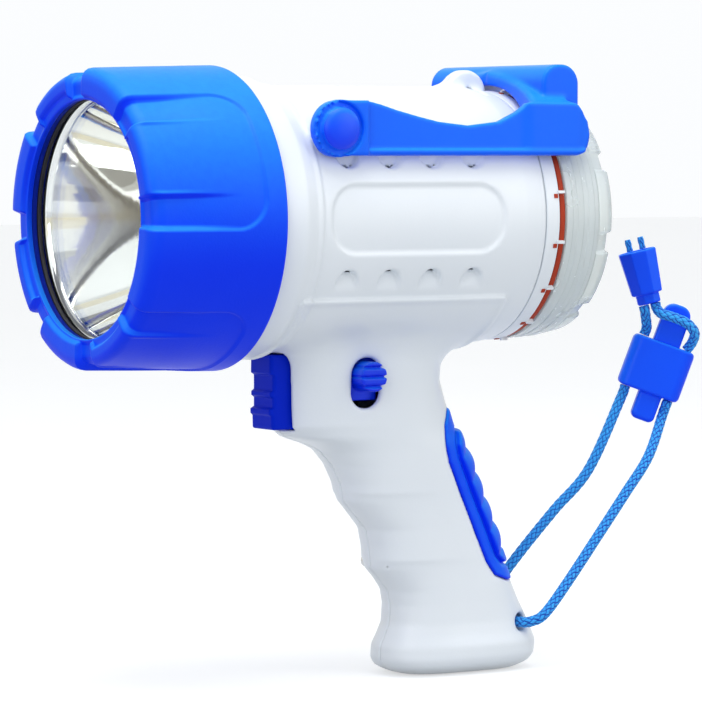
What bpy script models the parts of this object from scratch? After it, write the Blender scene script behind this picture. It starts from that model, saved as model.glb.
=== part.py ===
# Rechargeable handheld spotlight with a pistol grip, a folding carry handle and a wrist cord.
# Metres, +Z up. The beam leaves toward -X, the near side of the photograph is -Y.
# Everything is modelled from the beam axis and from the rear edge of the bezel,
# and one empty then stands the lamp on the middle of its flat grip base.
import bpy
import bmesh
import math
from mathutils import Matrix, Vector

# Clearances
GAP = 0.0003
WELD = 0.00001
SLACK = 0.0006
OVERRUN = 0.004

# Facets
ROUND_STEPS = 48
HIDDEN_STEPS = 32
SMALL_STEPS = 20
SCREW_STEPS = 14

# Barrel of the housing, turned about the beam axis
SPIGOT_FRONT_X = -0.0140
BARREL_RADIUS = 0.0500
SPIGOT_STEP = 0.0010
SPIGOT_RADIUS = BARREL_RADIUS - SPIGOT_STEP
FLARE_RISE = 0.0038
FLARE_RADIUS = BARREL_RADIUS + FLARE_RISE
FLARE_END_X = 0.0110
RIDGE_RISE = 0.0012
RIDGE_RADIUS = BARREL_RADIUS + RIDGE_RISE
RIDGE_X = 0.0185
BARREL_REAR_X = 0.1195
BARREL_WAIST = 0.0095
BARREL_WAIST_X = BARREL_REAR_X - BARREL_WAIST
REAR_TAPER = 0.0012
BARREL_REAR_RADIUS = BARREL_RADIUS - REAR_TAPER
WALL = 0.0028
LEDGE_RISE = 0.0208
LEDGE_Z = LEDGE_RISE - BARREL_RADIUS
LEDGE_FRONT_X = 0.0135
LEDGE_REAR_X = 0.1075
LEDGE_STEP = 0.0010
PANEL_FRONT_X = 0.0235
PANEL_REAR_X = 0.1000
PANEL_HALF_HEIGHT = 0.0127
PANEL_CORNER = 0.0095
PANEL_DEPTH = 0.0010
SCALLOP_START_X = 0.0330
SCALLOP_PITCH = 0.0184
SCALLOP_COUNT = 4
SCALLOP_Z = 0.0235
SCALLOP_RADIUS = 0.0044
SCALLOP_SINK = 0.0074
SCALLOP_FLOOR_Y = BARREL_RADIUS - SCALLOP_SINK

# Ear on top of the barrel
EAR_HEEL = 0.0007
EAR_HEEL_X = BARREL_REAR_X - EAR_HEEL
EAR_BACK = 0.0051
EAR_X = EAR_HEEL_X - EAR_BACK
EAR_SINK = 0.0020
EAR_Z = BARREL_RADIUS - EAR_SINK
EAR_RADIUS = 0.0085
EAR_HALF_THICKNESS = 0.0034
EAR_HOLE_RADIUS = 0.0017
EAR_FOOT_LENGTH = 0.0152
EAR_FOOT_FRONT_X = EAR_X - EAR_FOOT_LENGTH
EAR_FOOT_SINK = 0.0040
EAR_FOOT_Z = BARREL_RADIUS - EAR_FOOT_SINK
EAR_HEEL_Z = BARREL_RADIUS - GAP

# Grip, hung from the underside of the barrel: shares of its length, of its reach
# from front to rear, again of its reach, and of its half width
GRIP_LENGTH = 0.1270
GRIP_FRONT_X = 0.0285
GRIP_REACH = 0.1150
GRIP_HALF_WIDTH = 0.0215
GRIP_SHARES = (
    (-0.102, 0.004, 0.674, 1.000),
    (-0.024, 0.002, 0.674, 0.991),
    (0.016, 0.000, 0.630, 0.967),
    (0.055, 0.000, 0.609, 0.949),
    (0.102, 0.000, 0.606, 0.930),
    (0.165, 0.000, 0.629, 0.912),
    (0.236, 0.004, 0.658, 0.898),
    (0.264, 0.039, 0.672, 0.888),
    (0.285, 0.117, 0.684, 0.879),
    (0.307, 0.170, 0.696, 0.870),
    (0.354, 0.218, 0.722, 0.851),
    (0.409, 0.249, 0.747, 0.828),
    (0.465, 0.262, 0.775, 0.809),
    (0.504, 0.302, 0.793, 0.795),
    (0.551, 0.349, 0.816, 0.781),
    (0.606, 0.363, 0.842, 0.772),
    (0.673, 0.368, 0.874, 0.767),
    (0.709, 0.406, 0.891, 0.767),
    (0.744, 0.436, 0.909, 0.767),
    (0.787, 0.447, 0.931, 0.767),
    (0.846, 0.443, 0.967, 0.781),
    (0.882, 0.426, 0.985, 0.819),
    (0.913, 0.410, 0.999, 0.884),
    (0.953, 0.406, 0.994, 0.893),
    (0.980, 0.420, 0.974, 0.847),
    (1.000, 0.452, 0.942, 0.744),
)
GRIP_STATIONS = tuple(
    (-BARREL_RADIUS - GRIP_LENGTH * depth, GRIP_FRONT_X + GRIP_REACH * front, GRIP_FRONT_X + GRIP_REACH * rear,
     GRIP_HALF_WIDTH * half) for depth, front, rear, half in GRIP_SHARES)
GRIP_SQUARENESS = 2.8
GRIP_SIDES = 32
CAVITY_OVERLAP = 0.0100
CAVITY_TOP_Z = CAVITY_OVERLAP - BARREL_RADIUS
GRIP_FLOOR = 0.0040
CAVITY_FLOOR_Z = GRIP_FLOOR - BARREL_RADIUS - GRIP_LENGTH
CAVITY_REAR_INSET = 0.0012
CAVITY_STEPS = 9
CAVITY_SIDES = 20

# Place of the beam axis over the grip base
AXIS_HEIGHT = BARREL_RADIUS + GRIP_LENGTH
BASE_SETBACK = 0.0795
BASE_MIDDLE_X = GRIP_FRONT_X + BASE_SETBACK

# Head: carrier ring, lens and bezel, each sized from the barrel's spigot
HEAD_LENGTH = 0.0558
HEAD_RING_BORE = SPIGOT_RADIUS + GAP
HEAD_RING_WALL = 0.0037
HEAD_RING_RADIUS = HEAD_RING_BORE + HEAD_RING_WALL
HEAD_RING_SETBACK = 0.0042
HEAD_RING_FRONT_X = HEAD_RING_SETBACK - HEAD_LENGTH
HEAD_RING_CHAMFER = 0.0050
HEAD_RING_SHOULDER_X = HEAD_RING_FRONT_X + HEAD_RING_CHAMFER
LENS_SEAT_INSET = 0.0018
LENS_SEAT_RADIUS = HEAD_RING_BORE - LENS_SEAT_INSET
LENS_SEAT_DEPTH = 0.0130
LENS_SEAT_X = HEAD_RING_FRONT_X + LENS_SEAT_DEPTH
HEAD_RING_NOSE = 0.0009
HEAD_RING_NOSE_RADIUS = LENS_SEAT_RADIUS + HEAD_RING_NOSE
HEAD_RING_LIP = 0.0020
HEAD_RING_LIP_REACH = 0.0030
HEAD_RING_LIP_RADIUS = LENS_SEAT_RADIUS - HEAD_RING_LIP_REACH
GASKET_THICK = 0.0015
GASKET_REACH = 0.0034
GASKET_BORE = LENS_SEAT_RADIUS - GASKET_REACH
LENS_THICK = 0.0026
REFLECTOR_THICK = 0.0014
REFLECTOR_FLANGE = 0.0035
REFLECTOR_MOUTH_RADIUS = LENS_SEAT_RADIUS - REFLECTOR_FLANGE
REFLECTOR_DEPTH = 0.0620
REFLECTOR_THROAT_RADIUS = 0.0065
REFLECTOR_STEPS = 7
BEZEL_REAR_WALL = 0.0042
BEZEL_REAR_RADIUS = HEAD_RING_RADIUS + BEZEL_REAR_WALL
BEZEL_FRONT_WALL = 0.0030
BEZEL_FRONT_RADIUS = HEAD_RING_RADIUS + BEZEL_FRONT_WALL
BEZEL_ROUNDING = 0.0092
BEZEL_WAIST_X = BEZEL_ROUNDING - HEAD_LENGTH
BEZEL_NOSE_X = -HEAD_LENGTH
BEZEL_NOSE_WALL = 0.0016
BEZEL_NOSE_RADIUS = HEAD_RING_NOSE_RADIUS + BEZEL_NOSE_WALL
BEZEL_MOUTH_REACH = 0.0005
BEZEL_MOUTH_RADIUS = HEAD_RING_LIP_RADIUS - BEZEL_MOUTH_REACH
BEZEL_LIP = 0.0022
BEZEL_LIP_X = HEAD_RING_FRONT_X - GAP
BEZEL_MOUTH_X = BEZEL_LIP_X - BEZEL_LIP
BEZEL_GROOVE_DEPTH = 0.0014
BEZEL_NOTCH_DEPTH = 0.0026
BEZEL_GROOVE_REAR_X = -0.0085
BEZEL_GROOVE_START = math.radians(-3.0)
BEZEL_PERIOD = math.radians(90.0)
BEZEL_WIDE_LAND = math.radians(33.0)
BEZEL_NARROW_PAD = math.radians(30.0)
BEZEL_GROOVE_WALL = math.radians(2.2)

# Light source
EMITTER_RADIUS = 0.0035
EMITTER_HEIGHT = 0.0032
LED_BOARD_RADIUS = 0.0100
LED_BOARD_THICK = 0.0016
SINK_HUB_RADIUS = 0.0120
SINK_DISC_THICK = 0.0022
SINK_LENGTH = 0.0180
SINK_RIB_RADIUS = 0.0240
SINK_RIB_THICK = 0.0016
SINK_RIBS = 4

# Electronics in the barrel
BOARD_FRONT_X = 0.0520
BOARD_REAR_X = 0.1000
BOARD_Z = -0.0050
BOARD_EDGE_ROOM = 0.0052
BOARD_HALF_WIDTH = BARREL_RADIUS - WALL - BOARD_EDGE_ROOM
BOARD_THICK = 0.0016
CAPACITOR_RADIUS = 0.0050
CAPACITOR_HEIGHT = 0.0140
COIL_RADIUS = 0.0075
COIL_HEIGHT = 0.0070
BOARD_PART_OFFSET = 0.0150
RAIL_THICK = 0.0016
RAIL_REACH = 0.0030

# Insulated wires held inside the housing: light source to board, cells to board
WIRE_RADIUS = 0.0009
WIRE_STEP = 0.0040
LED_WIRE_Y = 0.0050
LED_WIRE_SAG = 0.0015
WIRE_LEAD = 0.0012
HALF_SHARE = 0.5
CELL_WIRE_ROUTE = ((0.0760, 0.0000, -0.0890), (0.0750, 0.0000, -0.0740), (0.0750, 0.0000, -0.0560),
                   (0.0760, 0.0000, -0.0360), (0.0760, 0.0000, -0.0180))

# Cells in the grip
CELL_RADIUS = 0.0092
CELL_LENGTH = 0.0650
CELL_LEAN = math.radians(20.0)
CELL_PITCH = 0.0190
CELL_REACH_SHARE = 0.611
CELL_DEPTH_SHARE = 0.628
CELL_MIDDLE_X = GRIP_FRONT_X + GRIP_REACH * CELL_REACH_SHARE
CELL_MIDDLE_Z = -BARREL_RADIUS - GRIP_LENGTH * CELL_DEPTH_SHARE
CONTACT_THICK = 0.0012
CONTACT_HALF_WIDTH = 0.0080

# Trigger and its switch
TRIGGER_FRONT_X = 0.0218
TRIGGER_REAR_X = 0.0400
TRIGGER_DROP = 0.0016
TRIGGER_HEIGHT = 0.0284
TRIGGER_TOP_Z = -BARREL_RADIUS - TRIGGER_DROP
TRIGGER_BOTTOM_Z = TRIGGER_TOP_Z - TRIGGER_HEIGHT
TRIGGER_HALF_WIDTH = 0.0078
TRIGGER_RIB_DEPTH = 0.0011
TRIGGER_RIBS = 4
TRIGGER_RIB_SHARES = ((0.2, 0.0), (0.5, 1.0), (0.8, 0.0))
SPRING_RADIUS = 0.0034
SPRING_WIRE = 0.0004
SPRING_TURNS = 4.0
SPRING_Z = TRIGGER_TOP_Z - TRIGGER_HEIGHT / 2
SPRING_ROOM = 0.0110
SWITCH_FRONT_X = TRIGGER_REAR_X + SPRING_ROOM
SWITCH_LENGTH = 0.0110
SWITCH_HALF_WIDTH = 0.0055
SWITCH_HALF_HEIGHT = 0.0070

# Lock slide on the near side
SLOT_X = 0.0570
SLOT_DROP = 0.0030
SLOT_TOP_Z = -BARREL_RADIUS - SLOT_DROP
SLOT_HEIGHT = 0.0192
SLOT_HALF_WIDTH = 0.0062
KNOB_RADIUS = 0.0057
KNOB_DROP = 0.0070
KNOB_Z = SLOT_TOP_Z - KNOB_DROP
KNOB_PROUD = 0.0042
KNOB_RIDGES = 4
KNOB_RIDGE_DEPTH = 0.0009
KNOB_GROOVE_SHARE = 0.2
SLIDE_PLATE_Y = -0.0142
SLIDE_PLATE_THICK = 0.0013
SLIDE_PLATE_HALF_WIDTH = 0.0068
SLIDE_PLATE_HALF_HEIGHT = 0.0094
SLIDE_SWITCH_DEPTH = 0.0060
SLIDE_SWITCH_HALF_HEIGHT = 0.0060
SLIDE_SWITCH_HALF_WIDTH = 0.0050

# Rubber backstrap: side outline of the flange and of the raised pad, as shares of the
# grip's reach and of its length
STRAP_OUTLINE_SHARES = (
    (0.813, 0.157), (0.609, 0.193), (0.583, 0.236), (0.577, 0.299), (0.589, 0.350), (0.750, 0.661),
    (0.787, 0.705), (0.848, 0.724), (1.022, 0.724), (1.022, 0.157),
)
STRAP_PAD_SHARES = (
    (0.830, 0.228), (0.648, 0.260), (0.632, 0.299), (0.639, 0.339), (0.800, 0.646), (0.830, 0.669),
    (1.039, 0.669), (1.039, 0.228),
)
STRAP_PROUD = 0.0008
STRAP_DEPTH = 0.0012
STRAP_PAD_PROUD = 0.0022
STRAP_RIDGES = 5
STRAP_RIDGE_DEPTH = 0.0010
STRAP_LEVELS = 25

# Eyelet for the wrist cord
EYELET_INSET = 0.0110
EYELET_HEIGHT = 0.0180
EYELET_X = GRIP_FRONT_X + GRIP_REACH - EYELET_INSET
EYELET_Z = EYELET_HEIGHT - AXIS_HEIGHT
EYELET_RADIUS = 0.0034
EYELET_BOSS_RADIUS = 0.0054

# Carry handle, which is also the folding stand
PIVOT_X = 0.0264
PIVOT_Z = 0.0334
ARM_TUCK = 0.0048
ARM_INNER_Y = BARREL_RADIUS - ARM_TUCK
ARM_THICK = 0.0044
ARM_OUTER_Y = ARM_INNER_Y + ARM_THICK
ARM_HEAD_RADIUS = 0.0104
ARM_BELOW_PIVOT = 0.0099
ARM_BOTTOM_Z = PIVOT_Z - ARM_BELOW_PIVOT
ARM_FLANGE_HEIGHT = 0.0024
ARM_FLANGE_PROUD = 0.0012
ARM_BLOCK_LENGTH = 0.0126
ARM_BLOCK_X = PIVOT_X + ARM_BLOCK_LENGTH
ARM_BLOCK_PROUD = 0.0010
ARM_LENGTH = 0.1136
ARM_END_X = PIVOT_X + ARM_LENGTH
ARM_TOP_SHARES = (
    (0.129, 0.980), (0.164, 0.936), (0.235, 0.823), (0.315, 0.714), (0.393, 0.621), (0.511, 0.552),
    (0.631, 0.626), (0.701, 0.803), (0.745, 0.961),
)
ARM_HEIGHT = ARM_BELOW_PIVOT + ARM_HEAD_RADIUS
ARM_END_HEIGHT = 0.0195
ARM_END_TOP_Z = ARM_BOTTOM_Z + ARM_END_HEIGHT
ARM_END_SHARES = ((0.385, 0.974), (0.195, 0.846), (0.051, 0.667), (0.0, 0.395), (0.051, 0.169), (0.154, 0.062),
                  (0.308, 0.0))
ARM_FLANGE_SETBACK = 0.0040
BAR_SETBACK = 0.0010
BAR_DEPTH = 0.0167
BAR_REAR_X = ARM_END_X + BAR_SETBACK
BAR_FRONT_X = BAR_REAR_X - BAR_DEPTH
BAR_RISE = 0.0083
BAR_TOP_Z = BARREL_RADIUS + BAR_RISE
BAR_INSET = 0.0058
BAR_HALF_LENGTH = ARM_INNER_Y - BAR_INSET
BAR_HEIGHT = 0.0203
BAR_BOTTOM_Z = BAR_TOP_Z - BAR_HEIGHT
BAR_CORNER = 0.0075
WEB_LENGTH = 0.0203
WEB_FRONT_X = BAR_FRONT_X - WEB_LENGTH
WEB_DROP = 0.0023
WEB_TOP_Z = BAR_TOP_Z - WEB_DROP
WEB_HEIGHT = 0.0190
WEB_BOTTOM_Z = WEB_TOP_Z - WEB_HEIGHT
WEB_ARCH_SHARES = ((0.207, 0.885), (0.517, 0.631), (0.744, 0.354), (0.95, 0.0))
WEB_REAR_SETBACK = 0.0065
WEB_MOUTH_OVERRUN = 0.0110
WEB_MOUTH_X = WEB_FRONT_X - WEB_MOUTH_OVERRUN
WEB_MOUTH_DEPTH = 0.0310
WEB_MOUTH_SPREAD = 0.0190
WEB_MOUTH_HALF_WIDTH = ARM_INNER_Y + WEB_MOUTH_SPREAD
PIN_RADIUS = 0.0025
PIN_REACH = 0.0082
PIN_INNER_Y = ARM_INNER_Y - PIN_REACH
PIVOT_BOSS_RADIUS = 0.0075
CAP_RADIUS = 0.0072
CAP_DOME = 0.0026
CAP_SHOULDER_SHARES = (0.7, 0.9)

# Rear of the barrel: toothed ring with bulkhead, seal, clear cap
RING_STEP = 0.0002
RING_RADIUS = BARREL_REAR_RADIUS - RING_STEP
RING_LENGTH = 0.0067
RING_REAR_X = BARREL_REAR_X + RING_LENGTH
BULKHEAD_THICK = 0.0024
TEETH = 16
TOOTH_LENGTH = 0.0030
TOOTH_HALF_WIDTH = 0.0009
TOOTH_THICK = 0.0009
SEAL_THICK = 0.0024
SEAL_REACH = 0.0056
SEAL_BORE = RING_RADIUS - SEAL_REACH
CAP_LENGTH = 0.0263
CAP_REAR_X = RING_REAR_X + CAP_LENGTH
CAP_WALL = 0.0022
CAP_FRONT_RADIUS = RING_RADIUS - RING_STEP
CAP_TAPER = 0.0010
CAP_WAIST_RADIUS = CAP_FRONT_RADIUS - CAP_TAPER
CAP_FLANGE_STEP = 0.0012
CAP_FLANGE_RADIUS = CAP_WAIST_RADIUS - CAP_FLANGE_STEP
CAP_REAR_STEP = 0.0022
CAP_REAR_RADIUS = CAP_FLANGE_RADIUS - CAP_REAR_STEP
CAP_FLANGE_LENGTH = 0.0070
CAP_FLANGE_X = CAP_REAR_X - CAP_FLANGE_LENGTH
CAP_RIBS = 3
CAP_RIB_STEP = 0.0006
CAP_NOTCHES = 9
CAP_NOTCH_HALF_WIDTH = 0.0034
CAP_NOTCH_DEPTH = 0.0016
CAP_NOTCH_TURN_SHARE = 0.565
CAP_RIM_WIDTH = 0.0040
CAP_DISH_DEPTH = 0.0040
CAP_DISH_SLOPE = 0.0020
SOCKET_Z = 0.0140
SOCKET_RADIUS = 0.0055
SOCKET_FLANGE_RADIUS = 0.0080
SOCKET_LENGTH = 0.0140
SOCKET_BORE = 0.0030
LAMP_Z = -0.0140
LAMP_RADIUS = 0.0025

# Housing screws, driven from the far side
SCREW_SHARES = ((0.539, 0.055), (0.322, 0.461), (0.404, 0.657), (0.761, 0.941), (0.522, 0.941))
SCREW_SHANK_RADIUS = 0.0012
SCREW_HEAD_RADIUS = 0.0026
SCREW_HEAD_THICK = 0.0018
SCREW_BOSS_RADIUS = 0.0033
SCREW_HEAD_Y = 0.0070
SCREW_TIP_Y = -0.0080

# Wrist cord: route of each strand, metres
CORD_RADIUS = 0.0021
CORD_STEP = 0.0090
CORD_NEAR_ROUTE = (
    (0.1325, -0.0003, -0.1590), (0.1325, -0.0070, -0.1590), (0.1325, -0.0130, -0.1590),
    (0.1345, -0.0172, -0.1585), (0.1395, -0.0195, -0.1555), (0.1510, -0.0185, -0.1440),
    (0.1680, -0.0150, -0.1270), (0.1840, -0.0115, -0.1110), (0.1975, -0.0085, -0.0970),
)
CORD_FAR_ROUTE = (
    (0.1325, 0.0003, -0.1590), (0.1325, 0.0070, -0.1590), (0.1325, 0.0130, -0.1590),
    (0.1342, 0.0172, -0.1575), (0.1390, 0.0195, -0.1525), (0.1520, 0.0180, -0.1370),
    (0.1680, 0.0150, -0.1190), (0.1820, 0.0110, -0.1030),
)
CORD_LEAD = 0.0060

# Cord lock, in its own frame: across, thick, up
LOCK_MIDDLE = (0.2073, 0.0000, -0.0622)
LOCK_TURN = math.radians(-32.0)
LOCK_TILT = math.radians(20.0)
LOCK_HALF_WIDTH = 0.0132
LOCK_HALF_HEIGHT = 0.0106
LOCK_HALF_THICK = 0.0056
LOCK_ROUND = 0.0024
TONGUE_LEFT = -0.0034
TONGUE_RIGHT = 0.0062
TONGUE_DROP = 0.0112
TONGUE_HALF_THICK = 0.0040
CHANNEL_OFFSET = 0.0091
PLUNGER_MIDDLE = 0.0005
PLUNGER_HALF_WIDTH = 0.0056
PLUNGER_HALF_THICK = 0.0034
PLUNGER_TOP = 0.0270
PLUNGER_BOTTOM = 0.0020
PLUNGER_CORNER_SHARE = 0.75
POCKET_BOTTOM = -0.0050
LOCK_SPRING_RADIUS = 0.0022
LOCK_SPRING_TURNS = 3.0
LOCK_SPRING_WIRE = 0.0003

# Cord-end bell and the two cords that run up to it, in the lock's frame
BELL_MOUTH = (-0.0118, -0.0045, 0.0235)
BELL_AXIS = (-0.556, 0, 0.831)
BELL_LENGTH = 0.0218
BELL_COLLAR_HALF = 0.0050
BELL_COLLAR_LENGTH = 0.0040
BELL_MOUTH_HALF = 0.0066
BELL_TIP_HALF = 0.0081
BELL_SIDES = 8
LINK_LEFT_ROUTE = ((-0.0091, 0, 0.0140), (-0.0112, -0.0026, 0.0180))
LINK_RIGHT_ROUTE = ((0.0101, -0.0008, 0.0145), (0.0094, -0.0042, 0.0186), (0.0050, -0.0067, 0.0212),
                    (-0.0012, -0.0069, 0.0216), (-0.0060, -0.0060, 0.0214))
LINK_STEP = 0.0034
TAIL_RADIUS = 0.0013
TAIL_LENGTH = 0.0048
TAIL_OFFSET = 0.0026

BLUE = (0.012, 0.075, 0.80)
DEEP_BLUE = (0.010, 0.045, 0.52)
CORD_BLUE = (0.035, 0.16, 0.70)
WHITE = (0.80, 0.84, 0.88)
CLEAR = (0.72, 0.76, 0.78)
SEAL_RED = (0.48, 0.06, 0.03)
CHROME = (0.86, 0.86, 0.85)
BLACK = (0.02, 0.02, 0.025)
STEEL = (0.55, 0.56, 0.58)
ALUMINIUM = (0.70, 0.71, 0.73)
BOARD_GREEN = (0.02, 0.20, 0.08)
PHOSPHOR = (0.85, 0.72, 0.16)
CELL_SLEEVE = (0.05, 0.25, 0.40)
BRASS = (0.72, 0.50, 0.20)


def clear_scene():
    for ob in list(bpy.data.objects):
        bpy.data.objects.remove(ob)


def new_collection(name):
    coll = bpy.data.collections.new(name)
    bpy.context.scene.collection.children.link(coll)
    return coll


clear_scene()
PARTS = new_collection("rechargeable_led_spotlight")
CUTTERS = new_collection("cutters")
FRAME = bpy.data.objects.new("beam_axis", None)
FRAME.location = (-BASE_MIDDLE_X, 0, AXIS_HEIGHT)
PARTS.objects.link(FRAME)

# Turns a local Z axis onto the beam axis, onto Y, or leaves it
ALONG = {
    "X": Matrix(((0, 0, 1), (0, 1, 0), (-1, 0, 0))).to_4x4(),
    "Y": Matrix(((1, 0, 0), (0, 0, 1), (0, -1, 0))).to_4x4(),
    "Z": Matrix.Identity(4),
}
# Lays a local XY outline in the YZ plane, the XZ plane, or leaves it
FACING = {
    "X": Matrix(((0, 0, 1), (1, 0, 0), (0, 1, 0))).to_4x4(),
    "Y": Matrix(((1, 0, 0), (0, 0, -1), (0, 1, 0))).to_4x4(),
    "Z": Matrix.Identity(4),
}


def material(name, colour, roughness, metallic=0.0, transmission=0.0):
    mat = bpy.data.materials.new(name)
    mat.use_nodes = True
    shader = mat.node_tree.nodes["Principled BSDF"]
    shader.inputs["Base Color"].default_value = (*colour, 1.0)
    shader.inputs["Roughness"].default_value = roughness
    shader.inputs["Metallic"].default_value = metallic
    shader.inputs["Transmission Weight"].default_value = transmission
    mat.diffuse_color = (*colour, 1.0)
    return mat


def place(ob, coll):
    coll.objects.link(ob)
    ob.parent = FRAME
    return ob


def tidy(mesh):
    work = bmesh.new()
    work.from_mesh(mesh)
    bmesh.ops.remove_doubles(work, verts=work.verts, dist=WELD)
    bmesh.ops.recalc_face_normals(work, faces=work.faces)
    work.to_mesh(mesh)
    work.free()


def solid(name, mesh, turn=Matrix.Identity(4), cutter=False):
    mesh.transform(turn)
    tidy(mesh)
    mesh.shade_smooth()
    mesh.set_sharp_from_angle(angle=math.radians(32))
    ob = place(bpy.data.objects.new(name, mesh), CUTTERS if cutter else PARTS)
    if cutter:
        hide(ob)
    return ob


def hide(ob):
    ob.hide_render = True
    ob.display_type = "WIRE"


def baked(ob):
    """The evaluated mesh of a helper object, which is then removed."""
    bpy.context.view_layer.update()
    seen = ob.evaluated_get(bpy.context.evaluated_depsgraph_get())
    mesh = bpy.data.meshes.new_from_object(seen)
    bpy.data.objects.remove(ob)
    return mesh


def clockwise(profile):
    area = sum(a[0] * b[1] - b[0] * a[1] for a, b in zip(profile, profile[1:] + profile[:1]))
    return profile if area < 0 else profile[::-1]


def turned(name, profile, axis="X", at=(0, 0, 0), steps=ROUND_STEPS, ring=False, cutter=False):
    """A profile of (radius, distance along the axis) turned about an axis through at."""
    profile = clockwise(list(profile))
    if not ring:
        while profile[0][0] or not profile[1][0]:
            profile = profile[1:] + profile[:1]
        if profile[-1][0]:
            profile.append(profile[0])
    mesh = bpy.data.meshes.new(name)
    edges = [(i, i + 1) for i in range(len(profile) - 1)]
    if ring:
        edges.append((len(profile) - 1, 0))
    mesh.from_pydata([(r, 0, d) for r, d in profile], edges, [])
    helper = place(bpy.data.objects.new(name, mesh), CUTTERS)
    helper.parent = None
    spin = helper.modifiers.new("Turn", "SCREW")
    spin.steps = steps
    spin.render_steps = steps
    spin.use_merge_vertices = True
    spin.merge_threshold = WELD
    mesh = baked(helper)
    return solid(name, mesh, Matrix.Translation(at) @ ALONG[axis], cutter)


def rod(name, radius, start, end, axis, at, steps=SMALL_STEPS, cutter=False):
    profile = [(0, end), (radius, end), (radius, start), (0, start)]
    return turned(name, profile, axis, at, steps, cutter=cutter)


def plate(name, outline, facing, start, end, cutter=False, round_edge=0):
    """A flat outline, thick from start to end along the facing axis."""
    curve = bpy.data.curves.new(name, "CURVE")
    curve.dimensions = "2D"
    curve.fill_mode = "BOTH"
    curve.extrude = (end - start) / 2
    line = curve.splines.new("POLY")
    line.points.add(len(outline) - 1)
    for point, (a, b) in zip(line.points, outline):
        point.co = (a, b, 0, 1)
    line.use_cyclic_u = True
    helper = place(bpy.data.objects.new(name, curve), CUTTERS)
    helper.parent = None
    mesh = baked(helper)
    middle = (start + end) / 2
    if facing == "Y":
        middle = -middle
    turn = FACING[facing] @ Matrix.Translation((0, 0, middle))
    ob = solid(name, mesh, turn, cutter)
    if round_edge:
        soften(ob, round_edge)
    return ob


def soften(ob, width, angle=40):
    bevel = ob.modifiers.new("Rounded edges", "BEVEL")
    bevel.width = width
    bevel.segments = 2
    bevel.limit_method = "ANGLE"
    bevel.angle_limit = math.radians(angle)
    return ob


def box(name, xs, ys, zs, cutter=False, round_edge=0):
    work = bmesh.new()
    bmesh.ops.create_cube(work, size=1)
    size = Matrix.Diagonal((xs[1] - xs[0], ys[1] - ys[0], zs[1] - zs[0], 1))
    middle = Vector((sum(xs) / 2, sum(ys) / 2, sum(zs) / 2))
    work.transform(Matrix.Translation(middle) @ size)
    mesh = bpy.data.meshes.new(name)
    work.to_mesh(mesh)
    work.free()
    ob = solid(name, mesh, cutter=cutter)
    if round_edge:
        soften(ob, round_edge)
    return ob


def loft(name, rings, cutter=False, closed=False):
    """Skins a row of rings of equal count; closed joins the last ring to the first."""
    work = bmesh.new()
    rows = [[work.verts.new(p) for p in ring] for ring in rings]
    pairs = list(zip(rows, rows[1:]))
    if closed:
        pairs.append((rows[-1], rows[0]))
    for low, high in pairs:
        for i in range(len(low)):
            j = (i + 1) % len(low)
            work.faces.new((low[i], low[j], high[j], high[i]))
    if not closed:
        work.faces.new(rows[0])
        work.faces.new(rows[-1])
    mesh = bpy.data.meshes.new(name)
    work.to_mesh(mesh)
    work.free()
    return solid(name, mesh, cutter=cutter)


def joined(target, others, operation="UNION"):
    """Live Boolean modifiers on the target, one for each other object."""
    for other in others:
        change = target.modifiers.new(operation.title() + " " + other.name, "BOOLEAN")
        change.operation = operation
        change.object = other
        change.solver = "EXACT"
    weld = target.modifiers.new("Weld", "WELD")
    weld.merge_threshold = WELD
    return target


def cut(target, others):
    return joined(target, others, "DIFFERENCE")


def kept(target, others):
    return joined(target, others, "INTERSECT")


def paint(ob, mat):
    ob.data.materials.clear()
    ob.data.materials.append(mat)
    return ob


def pivot_at(ob, point):
    """Moves an object's origin to a point of the beam-axis frame."""
    ob.data.transform(Matrix.Translation([-c for c in point]))
    ob.location = point
    return ob


def arc(centre, radius, start, end, count):
    """Points on an arc, angles in degrees."""
    points = []
    for i in range(count + 1):
        a = math.radians(start + (end - start) * i / count)
        points.append((centre[0] + radius * math.cos(a), centre[1] + radius * math.sin(a)))
    return points


def stadium(middle, half_width, half_height, corner, count=4):
    """A rectangle with rounded corners."""
    a = half_width - corner
    b = half_height - corner
    x, z = middle
    corners = (((x + a, z + b), 0), ((x - a, z + b), 90), ((x - a, z - b), 180), ((x + a, z - b), 270))
    return [p for centre, turn in corners for p in arc(centre, corner, turn, turn + 90, count)]


def grown(outline, distance):
    """The outline moved outward by a distance."""
    area = sum(a[0] * b[1] - b[0] * a[1] for a, b in zip(outline, outline[1:] + outline[:1]))
    side = 1 if area > 0 else -1
    moved = []
    for i, point in enumerate(outline):
        before = Vector(point) - Vector(outline[i - 1])
        after = Vector(outline[(i + 1) % len(outline)]) - Vector(point)
        n1 = Vector((before.y, -before.x)).normalized() * side
        n2 = Vector((after.y, -after.x)).normalized() * side
        shift = (n1 + n2) / (1 + n1.dot(n2))
        moved.append(tuple(Vector(point) + shift * distance))
    return moved


def between(table, key):
    """Row of a table, read in straight lines between its stations."""
    if key >= table[0][0]:
        return table[0][1:]
    for high, low in zip(table, table[1:]):
        if key >= low[0]:
            share = (key - low[0]) / (high[0] - low[0])
            return tuple(b + (a - b) * share for a, b in zip(high[1:], low[1:]))
    return table[-1][1:]


def on_grip(shares):
    """Points given as shares of the grip's reach and length, in the beam-axis frame."""
    return [(GRIP_FRONT_X + GRIP_REACH * reach, -BARREL_RADIUS - GRIP_LENGTH * depth) for reach, depth in shares]


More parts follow.
